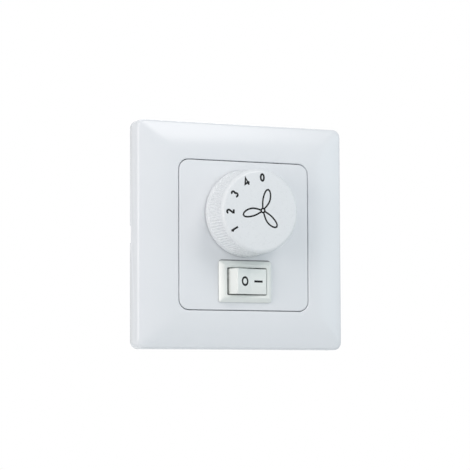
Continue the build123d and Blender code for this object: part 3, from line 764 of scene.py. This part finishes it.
@dataclass
class CentrePlate(SubAssembly):
    """The flat plate with its skirt, ribs, collar and two cut-outs."""

    edge: float = 0.3
    edge_steps: int = 6
    clearance: float = 0.3
    skirt_wall: float = 1.4
    skirt_depth: float = 3.8
    rib_thick: float = 1.2
    rib_depth: float = 2.0
    rib_place: float = 14.1
    rib_corner: float = 0.05
    hole_radius: float = 5.3
    hole_points: int = 64
    cutout: Point = (19.3, 13.1)

    def build(self) -> None:
        """Build the plate."""
        width, height, corner = LAYOUT.plate_width, LAYOUT.plate_height, LAYOUT.plate_corner
        level, back = LAYOUT.plate_level, LAYOUT.plate_back
        low = back - self.skirt_depth
        span = [size - 2 * LAYOUT.ledge_width - 2 * self.clearance for size in (width, height)]
        inner = [size - 2 * self.skirt_wall for size in span]
        inner_corner = corner - self.skirt_wall
        rings = [outline(*inner, inner_corner, back), outline(*inner, inner_corner, low),
                 outline(*span, corner, low), outline(*span, corner, back), outline(width, height, corner, back)]
        rings += [outline(width - 2 * a, height - 2 * a, corner - a, level - b)
                  for a, b in quarter(self.edge, self.edge_steps)]

        def round_hole(x: float, up: float, out: float) -> Vector:
            """Give a place from the middle of the knob's hole."""
            return spot(x, LAYOUT.knob_up + up, out)

        through = (0.0, level + OVER)
        hole = lathe(round_hole, [(self.hole_radius, out) for out in through], self.hole_points)
        window = block(self.cutout, through, (0.0, LAYOUT.rocker_up))
        shell = carve(Shell(rings), [Shell(hole), Shell(window)], "plate")
        levels = (back - self.rib_depth, back + LAP)
        radii = (self.hole_radius, self.hole_radius + self.rib_thick)
        collar = [(radii[0], levels[0]), (radii[1], levels[0]), (radii[1], levels[1]), (radii[0], levels[1])]
        shell.skin(lathe(round_hole, collar, self.hole_points), close=True)
        for place in (-self.rib_place, self.rib_place):
            shell.skin(block((self.rib_thick, inner[1] + 2 * LAP), levels, (place, 0.0), self.rib_corner,
                             COARSE_STEPS))
        piece = self.add_piece(shell, "plate", WHITE_SHELL, "base", "white_shell", crease=28.0)
        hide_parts("centre_plate")


@dataclass(frozen=True)
class Pen:
    """Lays printed lines on a surface as thin strips of ink."""

    surface: Callable[[float, float], Vector]
    sink: Vector
    width: float
    sharpest: float = 0.5

    def line(self, shell: Shell, points: Sequence[Point], closed: bool = False) -> None:
        """Lay one line.

        Args:
            shell: The shell that takes the strip.
            points: The line's points on the surface, to the right and up.
            closed: Whether its end joins its start.
        """
        spots = [Vector(point) for point in points]
        last = len(spots) - 1
        edges: tuple[Ring, Ring] = ([], [])
        for i, here in enumerate(spots):
            ways = []
            if closed or i:
                ways.append((here - spots[i - 1]).normalized())
            if closed or i < last:
                ways.append((spots[(i + 1) % len(spots)] - here).normalized())
            mean = sum(ways, Vector((0.0, 0.0))).normalized()
            aside = Vector((-mean.y, mean.x)) * (self.width / 2 / max(self.sharpest, abs(mean.dot(ways[0]))))
            for edge, place in zip(edges, (here + aside, here - aside)):
                edge.append(self.surface(place.x, place.y))
        shell.strip(*edges, self.sink, closed)


def arc(mid: Point, radii: Point, start: float, end: float, steps: int = 20) -> list[Point]:
    """List points along an arc of an ellipse, between two angles in degrees."""
    angles = [math.radians(start + (end - start) * i / steps) for i in range(steps + 1)]
    return [(mid[0] + radii[0] * math.cos(a), mid[1] + radii[1] * math.sin(a)) for a in angles]


def loop(mid: Point, radii: Point, count: int = 24) -> list[Point]:
    """List the points of an ellipse, for a line that closes on itself."""
    return arc(mid, radii, 0, 360 - 360 / count, count - 1)


class Digit(Enum):
    """The digits of the dial, each drawn a unit high about its middle."""

    ZERO = 0
    ONE = 1
    TWO = 2
    THREE = 3
    FOUR = 4

    def strokes(self) -> list[list[Point]]:
        """Give the digit's lines.

        Returns:
            The lines, each as its points.
        """
        if self is Digit.ZERO:
            return [loop((0, 0), (0.21, 0.4))]
        if self is Digit.ONE:
            return [[(0.06, -0.5), (0.06, 0.46)], [(-0.14, 0.22), (0.0, 0.3), (0.06, 0.46)]]
        if self is Digit.TWO:
            return [arc((0, 0.22), (0.2, 0.21), 165, -35, 16) + [(-0.19, -0.4)], [(-0.24, -0.42), (0.25, -0.42)]]
        if self is Digit.THREE:
            return [arc((-0.01, 0.215), (0.19, 0.2), 155, -85, 16), arc((-0.01, -0.2), (0.21, 0.22), 85, -155, 16)]
        return [[(0.11, -0.5), (0.11, 0.44), (-0.3, -0.2), (0.33, -0.2)]]


@dataclass
class SpeedKnob(SubAssembly):
    """The drafted, knurled cap with its printed dial."""

    base: float = 9.9
    radius: float = 15.8
    rim: float = 15.1
    height: float = 13.0
    wall: float = 1.8
    cap: float = 2.0
    foot_round: float = 0.25
    foot_steps: int = 3
    foot_bevel: float = 0.15
    band: float = 2.3
    band_round: float = 0.12
    knurl_end: float = 11.2
    shoulder: float = 1.5
    shoulder_steps: int = 10
    crown: float = 0.35
    crown_shares: tuple[float, ...] = (0.94, 0.84, 0.7, 0.54, 0.38, 0.22, 0.1, 0.03)
    ridges: int = 90
    ridge_points: int = 8
    depth: float = 0.3
    inset: float = 0.06
    fade_start: float = 0.04
    fade: float = 0.55
    fade_steps: int = 4
    boss: float = 5.4
    boss_low: float = 2.8
    boss_bevel: float = 0.2
    bore: float = 3.04
    bore_flat: float = 1.54
    bore_mouth: float = 3.4
    bore_end: float = 10.7
    digit_height: float = 3.0
    digit_ring: float = 12.6
    digit_mid: Point = (0.65, -0.62)
    digit_pen: float = 0.7
    zero_angle: float = 90.0
    digit_start: float = 240.0
    digit_step: float = 30.0
    fan_mid: Point = (0.72, 0.1)
    fan_pen: float = 0.6
    hub: float = 0.72
    blade_length: float = 7.9
    blade_root: float = 0.3
    blade_half: float = 1.38
    blade_widest: float = 0.54
    blade_bend: float = 0.25
    blade_steps: int = 24
    blade_angles: Triple = (73.5, 193.0, 314.0)

    def side(self, level: float) -> float:
        """Give the wall's radius at a level above the base."""
        return self.radius - (self.radius - self.rim) * level / (self.height - self.shoulder)

    def around(self, level: float, reach: Callable[[float], float]) -> Ring:
        """Give one ring of the cap.

        Args:
            level: Height above the knob's base.
            reach: Gives the distance from the axis at an angle in radians.

        Returns:
            The ring's points.
        """
        return [spot(reach(a) * math.cos(a), LAYOUT.knob_up + reach(a) * math.sin(a), self.base + level)
                for a in turns(self.ridges * self.ridge_points)]

    def ring(self, level: float, radius: float, groove: float = 0.0) -> Ring:
        """Give a ring of a radius, with grooves of a depth between the ridges."""
        return self.around(level, lambda a: radius - groove / 2 * (1 - math.cos(self.ridges * a)))

    def bore_ring(self, level: float) -> Ring:
        """Give a ring of the D-shaped bore."""
        return self.around(level, lambda a: self.bore_flat / max(math.sin(a), self.bore_flat / self.bore))

    def face_level(self, distance: float) -> float:
        """Give the crown's height above the base at a distance from the axis."""
        return self.height + self.crown * (1 - (distance / (self.rim - self.shoulder)) ** 2)

    def groove_ends(self, edge: float, way: int) -> list[Ring]:
        """Give the rings where the grooves run out, from a smooth band inward.

        Args:
            edge: The level where the band ends.
            way: 1 where the grooves lie above it, -1 where they lie below.

        Returns:
            The rings.
        """
        rings = [self.ring(edge - way * self.band_round, self.side(edge)),
                 self.ring(edge, self.side(edge) - self.inset / 2)]
        for step in range(self.fade_steps + 1):
            share = step / self.fade_steps
            level = edge + way * (self.fade_start + self.fade * share)
            groove = self.depth * math.sqrt(1 - (1 - share) ** 2)
            rings.append(self.ring(level, self.side(level) - self.inset, groove))
        return rings

    def rings(self) -> list[Ring]:
        """Give the rings of the cap, from the end of its bore out, round the wall and to the crown.

        Returns:
            The rings.
        """
        ceiling = self.height - self.cap
        inner = self.rim - self.wall
        bevel = self.boss_bevel
        made = [self.bore_ring(self.bore_end), self.bore_ring(self.boss_low + bevel)]
        sections = [(self.boss_low, self.bore_mouth), (self.boss_low, self.boss - bevel),
                    (self.boss_low + bevel, self.boss), (ceiling, self.boss), (ceiling, inner),
                    (self.foot_bevel, inner), (0.0, inner + self.foot_bevel)]
        sections += [(a, self.radius - b) for a, b in quarter(self.foot_round, self.foot_steps)]
        made += [self.ring(level, radius) for level, radius in sections]
        made += self.groove_ends(self.band, 1) + self.groove_ends(self.knurl_end, -1)[::-1]
        made += [self.ring(self.height - b, self.rim - a) for a, b in quarter(self.shoulder, self.shoulder_steps)]
        distances = [(self.rim - self.shoulder) * share for share in self.crown_shares]
        return made + [self.ring(self.face_level(distance), distance) for distance in distances]

    def on_face(self, x: float, up: float) -> Vector:
        """Give a place on the crown, a hair in front of it."""
        return spot(x, LAYOUT.knob_up + up, self.base + self.face_level(math.hypot(x, up)) + PRINT_RISE)

    def dial(self) -> Shell:
        """Print the digits round the crown.

        Returns:
            The print's shell.
        """
        shell = Shell()
        pen = Pen(self.on_face, spot(0, 0, PRINT_SINK), self.digit_pen)
        for digit in Digit:
            degrees = self.zero_angle if digit is Digit.ZERO else self.digit_start - self.digit_step * digit.value
            outward = heading(degrees)
            across = Vector((outward.y, -outward.x))
            mid = Vector(self.digit_mid) + outward * self.digit_ring
            for stroke in digit.strokes():
                line = [mid + (outward * y + across * x) * self.digit_height for x, y in stroke]
                pen.line(shell, line, closed=digit is Digit.ZERO)
        return shell

    def blade(self, degrees: float) -> list[Vector]:
        """Give the outline of one blade of the fan figure.

        Args:
            degrees: The way in which it points.

        Returns:
            The points, out along one side and back along the other.
        """
        along = heading(degrees)
        across = Vector((-along.y, along.x))
        there, back = [], []
        for step in range(self.blade_steps + 1):
            share = step / self.blade_steps
            if share < self.blade_widest:
                swell = math.sin(math.pi / 2 * share / self.blade_widest)
                half = self.blade_root + (self.blade_half - self.blade_root) * swell
            else:
                run = (share - self.blade_widest) / (1 - self.blade_widest)
                half = self.blade_half * math.sqrt(max(0.0, 1 - run**2))
            middle = Vector(self.fan_mid) + along * (self.hub + (self.blade_length - self.hub) * share)
            middle -= across * self.blade_bend * math.sin(math.pi * share)
            there.append(middle + across * half)
            back.append(middle - across * half)
        return there + back[-2::-1]

    def fan_figure(self) -> Shell:
        """Print the three-bladed fan figure.

        Returns:
            The print's shell.
        """
        shell = Shell()
        pen = Pen(self.on_face, spot(0, 0, PRINT_SINK), self.fan_pen)
        pen.line(shell, loop(self.fan_mid, (self.hub, self.hub)), closed=True)
        for degrees in self.blade_angles:
            pen.line(shell, self.blade(degrees))
        return shell

    def build(self) -> None:
        """Build the cap and print its dial."""
        piece = self.add_piece(Shell(self.rings()), "speed_cap", KNOB_WHITE, "speed_knob", "knob_white",
                               crease=40.0)
        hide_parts("knob")
        self.add_piece(self.dial(), "dial_digits", BLACK_INK, "speed_knob", "knob_white")
        self.add_piece(self.fan_figure(), "dial_fan_figure", BLACK_INK, "speed_knob", "knob_white")


@dataclass
class RockerSwitch(SubAssembly):
    """The rocker's bevelled bezel and body, and its marked paddle."""

    width: float = 21.0
    height: float = 15.0
    rise: float = 2.0
    corner: float = 0.7
    bevel: float = 1.6
    lip: float = 0.5
    window: Point = (15.6, 9.8)
    window_corner: float = 0.3
    body: Point = (18.9, 12.9)
    body_corner: float = 0.5
    depth: float = 13.0
    floor: float = 1.8
    wing: Triple = (4.0, 0.6, 3.5)
    wing_thick: float = 0.4
    pivot: float = 8.8
    tilt: float = math.radians(14.0)
    vee: float = math.radians(7.0)
    groove_steps: int = 4
    groove_step: float = 0.22
    groove_rise: float = 0.012
    tip: Point = (6.8, 4.7)
    tip_round: float = 0.45
    tip_steps: int = 8
    foot: Point = (7.5, 0.6)
    foot_bend: float = 0.15
    skirt: float = 1.4
    skirt_share: float = 0.3
    wall: float = 1.2
    room_drop: float = 1.4
    clearance: float = 0.3
    pin_radius: float = 1.0
    pin_length: float = 1.15
    pin_bevel: float = 0.12
    pin_play: float = 0.05
    pocket_points: int = 32
    round_points: int = 40
    barrel: Triple = (2.3, 1.6, 3.6)
    tab: Point = (0.9, 4.9)
    tab_spacing: float = 7.0
    tab_corner: float = 0.05
    edge: float = 0.3
    edge_steps: int = 3
    mark_pen: float = 0.76
    mark_rise: float = 0.012
    nought: tuple[Point, Point] = ((-2.95, 0.0), (1.36, 1.4))
    dash: tuple[Point, ...] = ((1.5, 0.05), (3.2, 0.05), (5.05, 0.05))
    # The painted shadow line above the bezel: its width, inset from the ends, taper, end share and steps.
    shadow_line_width: float = 0.42
    shadow_line_inset: float = 0.4
    shadow_line_taper: float = 25.0
    shadow_line_end: float = 0.3
    shadow_line_steps: int = 24

    @property
    def valley(self) -> float:
        """How far the bottom of the paddle's vee lies in front of its pivot."""
        return self.tip[1] - self.tip[0] * math.tan(self.vee)

    @property
    def half(self) -> float:
        """Half of the paddle's height."""
        return self.window[1] / 2 - self.clearance

    def case_rings(self, back: float, front: float) -> list[Ring]:
        """Give the rings of the body, over the bezel and down into the window.

        Args:
            back: The level of the body's back.
            front: The level of the bezel's front.

        Returns:
            The rings.
        """
        level = LAYOUT.plate_level
        lip = level + self.lip
        # The bezel's rounded steps: inset, level and share of the corner. The window's: growth and level.
        bezel = ((0.15, level, 1.0), (0.0, level + 0.12, 1.0), (0.0, lip - 0.15, 1.0), (0.05, lip - 0.03, 1.0),
                 (0.18, lip + 0.1, 1.0), (self.bevel - 0.2, front - 0.14, 0.6), (self.bevel, front - 0.03, 0.55),
                 (self.bevel + 0.2, front, 0.5))
        mouth = ((0.18, front), (0.05, front - 0.05), (0.0, front - 0.18), (0.0, back + self.floor))
        sections = [(self.body, 0.0, self.body_corner, out) for out in (back, level)]
        sections += [((self.width, self.height), -inset, self.corner * share, out) for inset, out, share in bezel]
        sections += [(self.window, grow, self.window_corner + grow, out) for grow, out in mouth]
        return [outline(size[0] + 2 * grow, size[1] + 2 * grow, corner, out, LAYOUT.rocker_up, FINE_STEPS)
                for size, grow, corner, out in sections]

    def case(self) -> Shell:
        """Build the bezel with its body, pivot pockets, tab slots and snap wings.

        Returns:
            The shell.
        """
        up, back, plate_back = LAYOUT.rocker_up, LAYOUT.plate_level - self.depth, LAYOUT.plate_back
        reach = self.half + self.pin_length + LAP
        pocket = lathe(lambda x, y, along: spot(x, up + along, self.pivot + y),
                       [(self.pin_radius + self.pin_play, along) for along in (-reach, reach)], self.pocket_points)
        slots = [block(self.tab, (back - OVER, back + self.floor + OVER / 2), (place, up), self.tab_corner,
                       COARSE_STEPS) for place in (0.0, -self.tab_spacing)]
        rings = self.case_rings(back, LAYOUT.plate_level + self.rise)
        shell = carve(Shell(rings), [Shell(cutter) for cutter in (pocket, *slots)], "rocker_case")
        breadth, reach, length = self.wing
        inner, outer = self.body[0] / 2 - LAP, self.body[0] / 2 + reach
        profile = ((inner, plate_back), (outer, plate_back), (outer, plate_back - self.wing_thick),
                   (inner, plate_back - length))
        for side in (-1, 1):
            shell.skin([[spot(side * x, up + along, out) for x, out in profile]
                        for along in (-breadth / 2, breadth / 2)])
        return shell

    def profile(self, inset: float) -> list[Point]:
        """Give the paddle's section, seen along its pivot, with its tips rounded.

        Args:
            inset: How far the section is drawn in from its outline.

        Returns:
            The section's points about the pivot, untilted.
        """
        slope = math.tan(self.vee)
        lean = math.atan2(self.foot[0] - self.tip[0], self.tip[1] - self.foot[1])
        turn = math.pi / 2 + self.vee - lean
        reach = self.tip_round * math.tan(turn / 2)
        mid = (self.tip[0] - reach * math.cos(self.vee) + self.tip_round * math.sin(self.vee),
               self.tip[1] - reach * math.sin(self.vee) - self.tip_round * math.cos(self.vee))
        angles = [math.pi / 2 + self.vee - turn * step / self.tip_steps for step in range(self.tip_steps + 1)]
        right = [(mid[0] + (self.tip_round - inset) * math.cos(a), mid[1] + (self.tip_round - inset) * math.sin(a))
                 for a in angles]
        side = self.foot[0] - inset
        right += [(self.foot[0] - inset / math.cos(lean), self.foot[1]), (side, self.foot[1] - self.foot_bend),
                  (side, self.skirt_share * inset - self.skirt)]
        last = self.groove_steps
        groove = [(step * self.groove_step, self.valley + abs(step) * self.groove_step * slope
                   + self.groove_rise * (last - abs(step)) - inset) for step in range(-last, last + 1)]
        return groove + right + [(-x, y) for x, y in reversed(right)]

    def on_tilt(self, x: float, up: float, out: float) -> Vector:
        """Turn a place drawn about the pivot by the paddle's tilt, and put it in the row frame."""
        cos, sin = math.cos(self.tilt), math.sin(self.tilt)
        return spot(x * cos + out * sin, LAYOUT.rocker_up + up, self.pivot - x * sin + out * cos)

    def paddle(self) -> Shell:
        """Build the paddle with its rounded edges, its hollow, its barrel and its pins.

        Returns:
            The shell.
        """
        ends = [(a - self.half, b) for a, b in quarter(self.edge, self.edge_steps)]
        stations = ends + [(-up, inset) for up, inset in reversed(ends)]
        body = Shell([[self.on_tilt(x, up, out) for x, out in self.profile(inset)] for up, inset in stations])
        top, low = self.tip[1] - self.room_drop * self.wall, -self.skirt - OVER
        tip, foot = self.tip[0] - self.wall, self.foot[0] - self.wall
        room = [(0, self.valley - self.wall), (-tip, top), (-foot, low), (foot, low), (tip, top)]
        ceiling = self.half - self.wall
        hollow = Shell([[self.on_tilt(x, up, out) for x, out in room] for up in (-ceiling, ceiling)])
        shell = carve(body, [hollow], "rocker_cap")
        outer, bore, end = self.barrel
        barrel = ((outer, self.valley - self.wall / 2), (outer, LAP - end), (outer - LAP, -end), (bore + LAP, -end),
                  (bore, LAP - end), (bore, bore))
        shell.skin(lathe(self.on_tilt, barrel, self.round_points))
        reach = self.half + self.pin_length
        pin = ((self.pin_radius, self.half - self.wall / 2), (self.pin_radius, reach - self.pin_bevel),
               (self.pin_radius - self.pin_bevel, reach))
        for side in (-1, 1):
            shell.skin(lathe(lambda x, y, along: self.on_tilt(x, side * along, y), pin, self.round_points))
        return shell

    def on_paddle(self, x: float, up: float) -> Vector:
        """Give a place on the paddle's face, a hair in front of it."""
        return self.on_tilt(x, up, self.valley + abs(x) * math.tan(self.vee) + self.mark_rise)

    def marks(self) -> Shell:
        """Print the two marks of the paddle: a nought and a dash.

        Returns:
            The print's shell.
        """
        shell = Shell()
        pen = Pen(self.on_paddle, self.on_tilt(0, 0, PRINT_SINK) - self.on_tilt(0, 0, 0), self.mark_pen)
        pen.line(shell, loop(*self.nought), closed=True)
        pen.line(shell, self.dash)
        return shell

    def painted_shadow_line(self) -> Shell:
        """Lay a thin dark strip on the plate along the bezel's upper edge, a painted shadow line.

        Returns:
            The line's shell.
        """
        low = LAYOUT.rocker_up + self.height / 2
        out = LAYOUT.plate_level + PRINT_RISE
        left, right = [], []
        for number in range(self.shadow_line_steps + 1):
            share = number / self.shadow_line_steps
            x = (share - 0.5) * (self.width - 2 * self.shadow_line_inset)
            reach = self.shadow_line_width * min(1.0, self.shadow_line_taper * min(share, 1 - share) + self.shadow_line_end)
            left.append(spot(x, low + reach, out))
            right.append(spot(x, low - LAP, out))
        shell = Shell()
        shell.strip(left, right, spot(0, 0, PRINT_SINK))
        return shell

    def build(self) -> None:
        """Build the bezel, the paddle and its marks."""
        case = self.add_piece(self.case(), "rocker_bezel", ROCKER_WHITE, "base", "rocker_white", crease=30.0)
        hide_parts("rocker_body")
        paddle = self.add_piece(self.paddle(), "rocker_cap", ROCKER_WHITE, "paddle", "rocker_white", crease=25.0)
        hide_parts("rocker_paddle")
        self.add_piece(self.marks(), "rocker_marks", BLACK_INK, "paddle", "rocker_white")
        # A dark strip paints the shadow line along the bezel's upper edge.
        self.add_piece(self.painted_shadow_line(), "bezel_painted_shadow_line", PAINTED_BEZEL_SHADOW, "base", "white_shell")


@dataclass
class Works(SubAssembly):
    """The working parts behind the plate, whose CAD shapes stay and get their real finishes."""

    dress: dict[str, Finish] = field(default_factory=lambda: {
        "rocker_plunger": NATURAL_NYLON, "rocker_spring": SPRING_STEEL, "contact_bar": BRASS,
        "rocker_terminals": BRASS, "mounting_strap": ZINC_STEEL, "switch_housing": BLACK_PLASTIC,
        "switch_bushing": BRASS, "bushing_washer": ZINC_STEEL, "bushing_nut": NUT_BRASS, "plate_nut": NUT_BRASS,
        "switch_shaft": SHAFT_STEEL, "detent_rotor": NATURAL_NYLON, "detent_spring": SPRING_STEEL, "wiper": BRASS,
        "switch_wafer": BROWN_BOARD, "switch_contacts": BRASS, "rear_housing": GREY_PLASTIC,
        "housing_screws": SCREW_STEEL, "circuit_board": BROWN_BOARD, "upper_capacitor": CAPACITOR_YELLOW,
        "lower_capacitor": CAPACITOR_YELLOW, "bleed_resistors": RESISTOR_BLUE, "terminal_block": TERMINAL_GREEN,
        "terminal_clamps": BRASS, "terminal_screws": SCREW_STEEL, "live_lead": BROWN_LEAD, "lamp_lead": BLUE_LEAD,
    })

    def build(self) -> None:
        """Give each CAD node that stays its finish."""
        for name, finish in self.dress.items():
            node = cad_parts[name]
            for slot in node.material_slots:
                slot.material = self.paints.get(finish)
            self.pieces.append(node)


@dataclass(frozen=True)
class Lamp:
    """One soft lamp of the studio, with its place and size in metres."""

    name: str
    place: Triple
    size: float
    watts: float
    colour: Colour

    def build(self) -> None:
        """Hang the lamp, turned to the object."""
        data = bpy.data.lights.new(self.name, "AREA")
        data.shape = "DISK"
        data.size = self.size
        data.energy = self.watts
        data.color = self.colour
        lamp = bpy.data.objects.new(self.name, data)
        lamp.location = Vector(self.place)
        lamp.rotation_mode = "QUATERNION"
        lamp.rotation_quaternion = (-Vector(self.place)).to_track_quat("-Z", "Y")
        bpy.context.scene.collection.objects.link(lamp)


@dataclass
class Studio:
    """The camera at the photograph's place, soft lamps, a white surround and a pale floor, in metres."""

    yaw: float = 25.293
    pitch: float = 4.483
    roll: float = -0.213
    distance: float = 0.74623
    target: Triple = (0.000637, 0.0, 0.001031)
    lens: float = 155.95
    sensor: float = 36.0
    fill: float = 0.49
    fill_colour: Colour = (0.86, 0.95, 1.0)
    floor_low: float = -0.32
    floor_radius: float = 1.2
    floor_glow: float = 0.35
    floor_points: int = 64
    lamps: tuple[Lamp, ...] = (
        Lamp("key_lamp", (0.14, -0.42, 0.38), 0.3, 0.92, (0.98, 0.92, 0.9)),
        Lamp("near_lamp", (-0.35, -0.28, 0.32), 0.25, 0.36, (1.0, 0.91, 0.9)),
        Lamp("side_lamp", (-1.05, -0.42, 0.05), 0.6, 3.95, (1.0, 0.91, 0.88)),
        Lamp("right_lamp", (0.95, -0.75, 0.2), 0.6, 1.4, (0.86, 0.96, 1.0)),
        Lamp("rear_lamp", (0.3, 0.9, 0.8), 0.6, 2.4, (1.0, 0.95, 0.92)),
    )

    def camera(self) -> None:
        """Place the camera."""
        yaw, pitch, roll = (math.radians(angle) for angle in (self.yaw, self.pitch, self.roll))
        look = Vector((math.sin(yaw) * math.cos(pitch), math.cos(yaw) * math.cos(pitch), math.sin(pitch)))
        right = Vector((math.cos(yaw), -math.sin(yaw), 0.0))
        above = right.cross(look)
        turned = right * math.cos(roll) + above * math.sin(roll)
        upright = above * math.cos(roll) - right * math.sin(roll)
        data = bpy.data.cameras.new("photo_camera")
        data.lens = self.lens
        data.sensor_width = self.sensor
        camera = bpy.data.objects.new("photo_camera", data)
        columns = Matrix((turned, upright, -look)).transposed()
        camera.matrix_world = Matrix.Translation(Vector(self.target) - look * self.distance) @ columns.to_4x4()
        bpy.context.scene.collection.objects.link(camera)
        bpy.context.scene.camera = camera

    @staticmethod
    def seen_rays(sheet: NodeSheet) -> Socket:
        """Tell the rays that see a surface from those that light others.

        Args:
            sheet: The sheet of the material or surround that asks.

        Returns:
            1 for rays from the camera, reflections and glass, and 0 for light on surfaces.
        """
        rays = sheet.add("LightPath").outputs
        seen = sheet.math("MAXIMUM", rays["Is Camera Ray"], rays["Is Glossy Ray"])
        return sheet.math("MAXIMUM", seen, rays["Is Transmission Ray"])

    def surround(self) -> None:
        """Make the white surround, which lights the object evenly at a lower level."""
        world = bpy.data.worlds.new("studio")
        world.use_nodes = True
        bpy.context.scene.world = world
        sheet = NodeSheet(world.node_tree)
        soft = world.node_tree.nodes["Background"]
        sheet.fill(soft, {"Color": self.fill_colour, "Strength": self.fill})
        white = sheet.add("Background", {"Color": (1.0, 1.0, 1.0), "Strength": 1.0})
        mix = sheet.add("MixShader")
        for slot, value in zip(mix.inputs, (self.seen_rays(sheet), soft.outputs[0], white.outputs[0])):
            sheet.feed(slot, value)
        sheet.feed(world.node_tree.nodes["World Output"].inputs["Surface"], mix.outputs[0])

    def floor(self) -> None:
        """Lay the pale floor, well below the object."""
        ring = [(self.floor_radius * math.cos(a), self.floor_radius * math.sin(a), self.floor_low)
                for a in turns(self.floor_points)]
        mesh = bpy.data.meshes.new("pale_floor")
        mesh.from_pydata(ring, [], [range(len(ring))])
        made = bpy.data.materials.new("pale_floor")
        made.use_nodes = True
        sheet = NodeSheet(made.node_tree)
        sheet.fill(made.node_tree.nodes["Principled BSDF"], {
            "Base Color": (0.9, 0.9, 0.9), "Roughness": 0.8, "Emission Color": (1.0, 1.0, 1.0),
            "Emission Strength": sheet.math("MULTIPLY", self.seen_rays(sheet), self.floor_glow),
        })
        mesh.materials.append(made)
        piece = place_mesh(mesh, "pale_floor")

    def build(self) -> None:
        """Set up the studio."""
        self.camera()
        self.surround()
        self.floor()
        for lamp in self.lamps:
            lamp.build()
        bpy.context.scene.view_settings.view_transform = "Standard"


def main() -> None:
    """Build the studio and every sub-assembly, and report each piece."""
    logging.basicConfig(level=logging.INFO, format="%(name)s: %(message)s")
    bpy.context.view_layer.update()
    Studio().build()
    paints = Paintbox()
    for part in (CoverFrame(paints), CentrePlate(paints), SpeedKnob(paints), RockerSwitch(paints), Works(paints)):
        part.build()
        for piece in part.pieces:
            LOG.info("%s: %s, %d faces", type(part).__name__, piece.name, len(piece.data.polygons))


if __name__ == "__main__":
    main()
